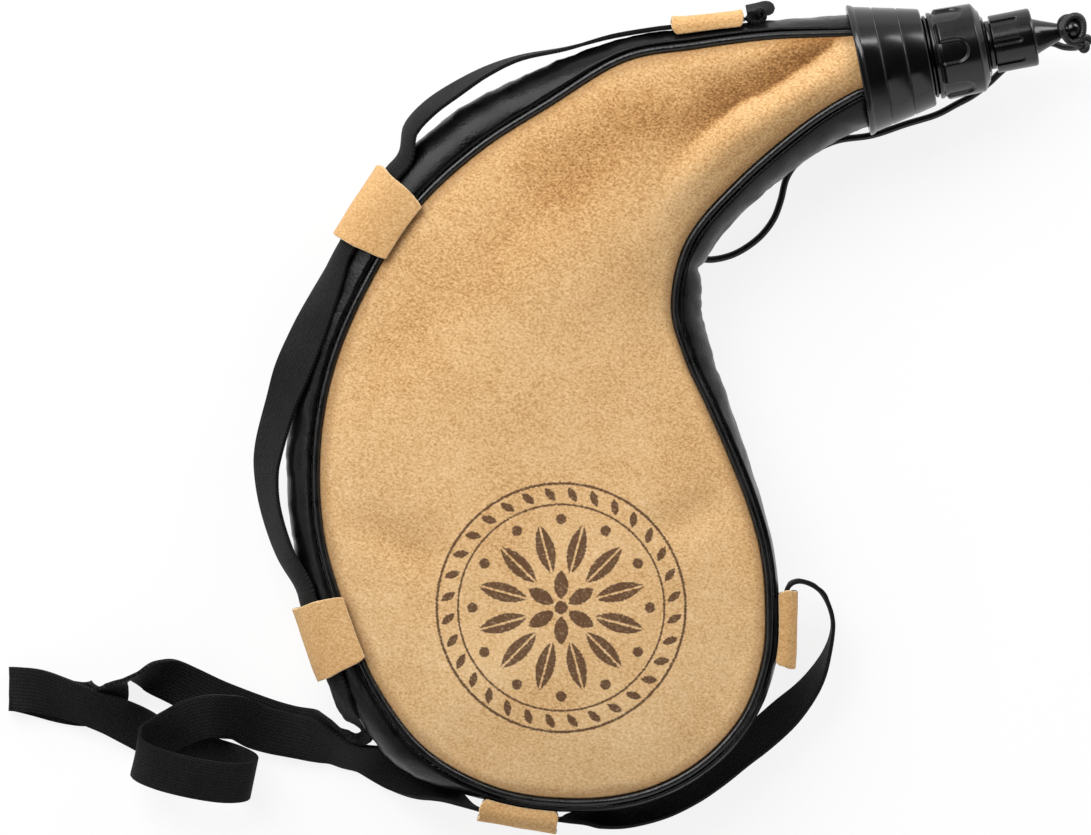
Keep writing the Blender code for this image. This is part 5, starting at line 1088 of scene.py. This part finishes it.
def turned(name, profile, material, closed=True, rounding=mouth["round"], steps=mouth["steps"], shaped=None,
           paintedHighlights=()):
    # A profile of radius and height spun round the mouthpiece's axis, its sharp edges rounded
    shape = bmesh.new()
    corners = [shape.verts.new((radius, 0.0, height)) for radius, height in profile]
    for start, end in zip(corners, corners[1:] + corners[:1] if closed else corners[1:]):
        shape.edges.new((start, end))
    bmesh.ops.spin(shape, geom=shape.verts[:] + shape.edges[:], axis=(0.0, 0.0, 1.0), cent=(0.0, 0.0, 0.0),
                   angle=2 * math.pi, steps=steps, use_merge=True)
    bmesh.ops.remove_doubles(shape, verts=shape.verts, dist=mouth["merge"])
    bmesh.ops.recalc_face_normals(shape, faces=shape.faces)
    sharp = [edge for edge in shape.edges
             if len(edge.link_faces) == 2 and edge.calc_face_angle() > math.radians(mouth["sharp"])]
    bmesh.ops.bevel(shape, geom=sharp, offset=rounding, segments=mouth["roundSteps"], profile=0.5,
                    affect="EDGES", clamp_overlap=True, material=-1)
    if shaped:
        for vertex in shape.verts:
            vertex.co = shaped(vertex.co)
    # Faces within the given bands take the painted highlight
    for face in shape.faces:
        if any(low < face.calc_center_median().z < high for low, high in paintedHighlights):
            face.material_index = 1
    bmesh.ops.transform(shape, matrix=toMouthpiece, verts=shape.verts)
    piece = newPiece(name, shape, material)
    if paintedHighlights:
        piece.data.materials.append(paintedHighlightFinish)
    return piece


def collarProfile():
    edge, rim, bore = mouth["collarEdge"], bag["lip"], mouth["tube"] + gap
    profile = [(bag["collarTop"] - edge, bag["collarLength"]), (bag["collarTop"], bag["collarLength"] - edge)]
    half, deep = mouth["grooveWidth"] / 2, mouth["grooveDepth"]
    flat = half * mouth["grooveFloor"]
    for share in reversed(mouth["grooves"]):
        middle = share * bag["collarLength"]
        for height, depth in ((half, 0.0), (flat, deep), (-flat, deep), (-half, 0.0)):
            profile.append((collarRadius(middle + height) - depth, middle + height))
    lip = collarRadius(mouth["lipWidth"])
    return profile + [
        (lip, mouth["lipWidth"]), (lip + rim, mouth["lipWidth"] - rim), (bag["collarWide"] + rim, rim),
        (bag["collarWide"], 0.0), (bag["collarWide"] - bag["collarWall"], 0.0),
        (collarRadius(shelf) - bag["collarWall"], shelf), (bore, shelf), (bore, bag["collarLength"])]


def neckProfile():
    tube, bead, quarter = mouth["tube"], mouth["bead"], mouth["beadWidth"] / 4
    inner, wide = tube - mouth["tubeWall"], tube + mouth["flange"]
    flangeTop = shelf - gap
    flangeBottom = flangeTop - mouth["flange"]
    return [(tube, tubeTop), (tube, beadTop), (bead, beadTop - quarter), (bead, beadBottom + quarter),
            (tube, beadBottom), (tube, flangeTop), (wide, flangeTop), (wide, flangeBottom),
            (tube, flangeBottom), (tube, mouth["tail"]), (inner, mouth["tail"]), (inner, tubeTop)]


def fillCapProfile():
    bore, hole, skirt = mouth["tube"] + mouth["play"], mouth["spout"] + gap, mouth["skirt"]
    skirtTop = capBottom + mouth["skirtWidth"]
    bodyBottom = skirtTop + mouth["skirtGroove"]
    end, edge, step = mouth["cap"] - mouth["capTaper"], mouth["capEdge"], mouth["step"]
    stepHeight, stepRadius = shoulderHeight + mouth["rise"] / 2, (end + mouth["shoulder"]) / 2
    outer = [(mouth["shoulder"] - step, capTop), (mouth["shoulder"], capTop - step),
             (stepRadius - step, stepHeight + step / 2), (stepRadius, stepHeight - step / 2),
             (end - edge, shoulderHeight)]
    side = subdivided((end, shoulderHeight - edge), (mouth["cap"], bodyBottom + edge), mouth["capSplit"])
    rest = [(mouth["cap"] - edge, bodyBottom), (skirt - edge, skirtTop), (skirt, skirtTop - edge),
            (skirt, capBottom), (bore, capBottom), (bore, capCeiling), (hole, capCeiling), (hole, capTop)]
    return outer + side + rest


def pocket(point, count, width, depth, bottom, top, outer, soft):
    # Presses round-ended pockets into a cap's side, open at the bottom
    radius = math.hypot(point.x, point.y)
    if radius < outer:
        return point
    step = 2 * math.pi / count
    slant = (math.atan2(point.y, point.x) + step / 2) % step - step / 2
    across = abs(radius * slant)
    half = width / 2
    away = (math.hypot(across, max(0.0, point.z - (top - half)))) - half
    away = max(away, bottom - point.z)
    share = min(1.0, max(0.0, 0.5 - away / soft))
    pressed = radius - depth * share * share * (3 - 2 * share)
    return Vector((point.x * pressed / radius, point.y * pressed / radius, point.z))


def fluted(point):
    bottom = capBottom + mouth["skirtWidth"] + mouth["skirtGroove"]
    return pocket(point, mouth["flutes"], mouth["fluteWidth"], mouth["fluteDepth"], bottom,
                  shoulderHeight - mouth["fluteEnd"], mouth["skirt"] - mouth["fluteInside"],
                  mouth["fluteSoft"])


def slotted(point):
    return pocket(point, mouth["slots"], mouth["slotWidth"], mouth["slotDepth"],
                  smallBottom - mouth["slotBelow"], smallTop - mouth["slotEnd"],
                  mouth["smallCap"] - mouth["slotInside"], mouth["slotSoft"])


def spoutProfile():
    tip, stub, ring, spout = mouth["tip"], mouth["stub"], mouth["spoutRing"], mouth["spout"]
    ringBottom, bore = capTop + gap, stub - mouth["spoutWall"]
    jetBottom, flangeTop = tipTop - mouth["jetLength"], spoutBottom + mouth["spoutFlange"]
    return [(tip, tipTop), (tip, stubTop), (stub, stubTop), (stub, stubBottom), (ring, stubBottom),
            (ring, ringBottom), (spout, ringBottom), (spout, flangeTop), (mouth["tube"], flangeTop),
            (mouth["tube"], spoutBottom), (bore, spoutBottom), (bore, jetBottom), (mouth["jet"], jetBottom),
            (mouth["jet"], tipTop)]


def smallCapProfile():
    bore, hollow = mouth["stub"] + mouth["play"], mouth["tip"] + mouth["play"]
    knob, waist, edge, side = mouth["knob"], mouth["waist"], mouth["smallEdge"], mouth["smallCap"]
    end, near = math.pi - math.asin(waist / knob), edge * mouth["edgeShare"]
    angles = [end * step / mouth["knobSteps"] for step in range(1, mouth["knobSteps"])]
    profile = [(0.0, knobHeight + knob)]
    profile += [(knob * math.sin(angle), knobHeight + knob * math.cos(angle)) for angle in angles]
    profile += [(waist, waistHeight + mouth["waistLength"]), (waist, waistHeight),
                (mouth["coneEnd"], waistHeight - mouth["coneDrop"])]
    profile += [(mouth["cone"] * share, smallTop + mouth["coneLength"] * up)
                for share, up in mouth["coneShares"]]
    profile += [(side - edge, smallTop), (side - near, smallTop - near)]
    profile += subdivided((side, smallTop - edge), (side, smallBottom), mouth["smallSplit"])
    return profile + [(bore, smallBottom), (bore, smallCeiling), (hollow, smallCeiling), (hollow, tipPocket),
                      (0.0, tipPocket)]


def ringProfile(inner, outer, bottom, top):
    return [(outer, top), (outer, bottom), (inner, bottom), (inner, top)]


# Thin bands of painted highlight along the collar's grooves
collarHighlights = [(share * bag["collarLength"] - mouth["paintedHighlight"], share * bag["collarLength"] + mouth["paintedHighlight"])
               for share in mouth["grooves"]]
clampInner, clampTop = liner["radius"] + gap, bag["tuck"] + liner["neckRise"] - gap
clampRing = ringProfile(clampInner, clampInner + mouth["clampWall"], clampTop - mouth["clampWidth"], clampTop)
tubeSeal = ringProfile(mouth["tube"] - mouth["sealWidth"], mouth["tube"], sealBottom,
                       sealBottom + mouth["seal"])
stubSeal = ringProfile(mouth["tip"] + gap, mouth["stub"], smallSealBottom,
                       smallSealBottom + mouth["smallSeal"])

collar = turned("collar", collarProfile(), hardBlack, rounding=mouth["collarRound"], paintedHighlights=collarHighlights)
rideOn(collar, "bag", "neck_collar")
rideOn(turned("neckTube", neckProfile(), hardBlack), "bag", "neck_tube")
rideOn(turned("clampBand", clampRing, band), "bag", "clamp_ring")
bigCap = turned("bigCap", fillCapProfile(), hardBlack, rounding=mouth["capRound"], steps=mouth["capSteps"],
                shaped=fluted)
rideOn(bigCap, "fill_cap", "fill_cap")
rideOn(turned("capWasher", tubeSeal, washer), "fill_washer", "fill_seal")
rideOn(turned("spoutPiece", spoutProfile(), hardBlack), "fill_cap", "spout")
smallCap = turned("smallCap", smallCapProfile(), hardBlack, closed=False, rounding=mouth["smallRound"],
                  steps=mouth["smallSteps"], shaped=slotted)
rideOn(smallCap, "drinking_cap", "drinking_cap")
rideOn(turned("smallWasher", stubSeal, washer), "drinking_washer", "drinking_seal")
print("mouthpiece made")

# Screw threads under the caps: one ridge on the neck and one on the spout, each sunk a little into the wall
threads = [{"name": "neckThread", "body": "bag", "radius": mouth["tube"], "bottom": capBottom + 0.0022,
            "pitch": 0.0040, "turns": 2.1, "height": 0.0003, "half": 0.0007},
           {"name": "spoutThread", "body": "fill_cap", "radius": mouth["stub"],
            "bottom": smallBottom + 0.0015, "pitch": 0.0030, "turns": 2.2, "height": 0.0003, "half": 0.0005}]
ridge = {"sink": 0.00005, "stepsPerTurn": 72, "runOut": 10, "flat": 0.02,
         "shares": ((-1.0, -0.3), (-0.55, 0.75), (-0.2, 1.0), (0.2, 1.0), (0.55, 0.75), (1.0, -0.3),
                    (0.0, -0.4), (-1.0, -0.3))}


def threadTable(thread):
    table = []
    count = int(thread["turns"] * ridge["stepsPerTurn"])
    for step in range(count + 1):
        turns = thread["turns"] * step / count
        angle, middle = 2 * math.pi * turns, thread["bottom"] + thread["pitch"] * turns
        rising = max(ridge["flat"], min(1.0, step / ridge["runOut"], (count - step) / ridge["runOut"]))
        section = []
        for side, rise in ridge["shares"]:
            out = thread["radius"] - ridge["sink"] + thread["height"] * rise * (rising if rise > 0 else 1.0)
            spot = Vector((out * math.cos(angle), out * math.sin(angle), middle + thread["half"] * side))
            section.append(toMouthpiece @ spot)
        table.append(section)
    return table


for thread in threads:
    shape = mappedGrid(threadTable(thread))
    ends = [edge for edge in shape.edges if len(edge.link_faces) == 1]
    bmesh.ops.holes_fill(shape, edges=ends, sides=0)
    bmesh.ops.recalc_face_normals(shape, faces=shape.faces)
    piece = newPiece(thread["name"], shape, hardBlack)
    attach(piece, thread["body"])

# The cord's knot: two turns laid round the knob, then an overhand knot beside it
knot = {"radius": 0.00118, "turn": 0.0043, "offset": 0.0056, "ahead": 0.0028, "size": 0.00093, "around": 16,
        "start": math.radians(-60.0), "perTurn": 42, "steps": 85, "cross": 0.75, "slack": 0.0002,
        "apart": 0.0009, "uneven": ((0.0005, 1.7), (0.0003, 3.3)), "ballSteps": 72, "ballCord": 0.86,
        "ballFlat": 0.8}


def knotPath():
    # Over the waist on the first turn, under it on the second
    path = []
    (sway, swayTurns), (bend, bendTurns) = knot["uneven"]
    for step in range(knot["steps"] + 1):
        angle = knot["start"] + 2 * math.pi * step / knot["perTurn"]
        side = 1 if step < knot["perTurn"] else -1
        crossing = math.exp(-((angle % (2 * math.pi) - math.pi) / knot["cross"]) ** 2)
        lift = (mouth["waist"] + knot["radius"] + knot["slack"]) * crossing + knot["apart"] * (1 - crossing)
        reach = knot["turn"] + sway * math.sin(swayTurns * angle) - bend * math.cos(bendTurns * angle)
        path.append(Vector((-lift * side, reach * math.sin(angle), knobHeight + reach * math.cos(angle))))
    return path


def overhandPath():
    middle = Vector((0.0, -knot["offset"], knobHeight + knot["ahead"]))
    turns = [2 * math.pi * step / knot["ballSteps"] for step in range(knot["ballSteps"] + 1)]
    return [middle + knot["size"] * Vector((knot["ballFlat"] * math.sin(3 * turn),
                                            math.cos(turn) - 2 * math.cos(2 * turn),
                                            math.sin(turn) + 2 * math.sin(2 * turn))) for turn in turns]


def placedTube(name, path, radius):
    return newPiece(name, sweptTube([toMouthpiece @ spot for spot in path], radius, knot["around"]), braid)


rideOn(placedTube("keeperRing", knotPath(), knot["radius"]), "keeper", "tether_knot")
knotBall = placedTube("keeperKnot", overhandPath(), knot["radius"] * knot["ballCord"])
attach(knotBall, "keeper")
print("threads and knot made")

# Pale floor, which keeps a faint shadow, under an even studio light
stage = {"floor": 20.0, "white": "#FFFFFF", "shadow": 0.14}


def paleFloor(stage):
    # Rays that are seen find white with a small share of the lit paper, which shows the shadow
    material = newMaterial("palePaper", stage["white"], 1.0, {"Specular IOR Level": 0.0})
    rays = addNode(material, "LightPath")
    seen = rays["Is Camera Ray"]
    for kind in ("Is Glossy Ray", "Is Transmission Ray"):
        seen = addNode(material, "Math", [seen, rays[kind]], operation="MAXIMUM")["Value"]
    share = addNode(material, "Math", [seen, 1 - stage["shadow"]], operation="MULTIPLY")["Value"]
    paper = material.node_tree.nodes["Principled BSDF"].outputs["BSDF"]
    glow = addNode(material, "Emission", {"Color": srgb(stage["white"]), "Strength": 1.0})["Emission"]
    both = addNode(material, "MixShader", [share, paper, glow])["Shader"]
    feed(material, {"Surface": both}, "Material Output")
    return material


shape = bmesh.new()
bmesh.ops.create_grid(shape, x_segments=1, y_segments=1, size=stage["floor"])
floor = newPiece("floor", shape, paleFloor(stage), smooth=False)

# Surroundings: bright low down, dark overhead, brighter to one side, and white for the camera
room = {"heights": (0.25, 0.80), "levels": (0.75, 0.015), "brightSide": (-0.5, 0.85, 0.0),
        "sideShares": (0.42, 0.58)}
world = bpy.data.worlds.new("studio")
bpy.context.scene.world = world
world.use_nodes = True
sky = addNode(world, "TexCoord")["Generated"]
height = addNode(world, "SeparateXYZ", [sky])["Z"]
level = addNode(world, "MapRange", [height, *room["heights"], *room["levels"]],
                interpolation_type="SMOOTHSTEP")["Result"]
side = addNode(world, "VectorMath", [sky, room["brightSide"]], operation="DOT_PRODUCT")["Value"]
side = addNode(world, "Math", [side, *room["sideShares"]], operation="MULTIPLY_ADD")["Value"]
level = addNode(world, "Math", [level, side], operation="MULTIPLY")["Value"]
seen = addNode(world, "LightPath")["Is Camera Ray"]
level = addNode(world, "Math", [level, seen], operation="MAXIMUM")["Value"]
feed(world, {"Color": (1.0, 1.0, 1.0, 1.0), "Strength": level}, "Background")

# Softboxes: place, power, width and height; all face the same point of the bag
aim = Vector((-0.05, 0.0, 0.0))
lamps = [{"name": "keySoftbox", "place": (-0.75, 1.05, 1.15), "power": 31.5, "size": (1.3, 1.3)},
         {"name": "fillSoftbox", "place": (0.35, -1.25, 0.75), "power": 7.5, "size": (1.6, 1.6)},
         {"name": "stripSoftbox", "place": (0.57, 1.15, 0.70), "power": 2.0, "size": (0.5, 0.16)},
         {"name": "sideSoftbox", "place": (0.86, 0.98, 0.46), "power": 7.5, "size": (0.7, 0.5)},
         {"name": "rimSoftbox", "place": (-1.30, -0.15, 0.62), "power": 2.4, "size": (1.4, 0.06)}]
for lamp in lamps:
    light = bpy.data.lights.new(lamp["name"], "AREA")
    light.shape = "RECTANGLE"
    light.energy = lamp["power"]
    light.size, light.size_y = lamp["size"]
    holder = bpy.data.objects.new(lamp["name"], light)
    bpy.context.scene.collection.objects.link(holder)
    holder.location = lamp["place"]
    holder.rotation_euler = (Vector(lamp["place"]) - aim).to_track_quat("Z", "Y").to_euler()
    holder.visible_camera = False

bpy.context.scene.view_settings.view_transform = "Standard"
print("scene complete")
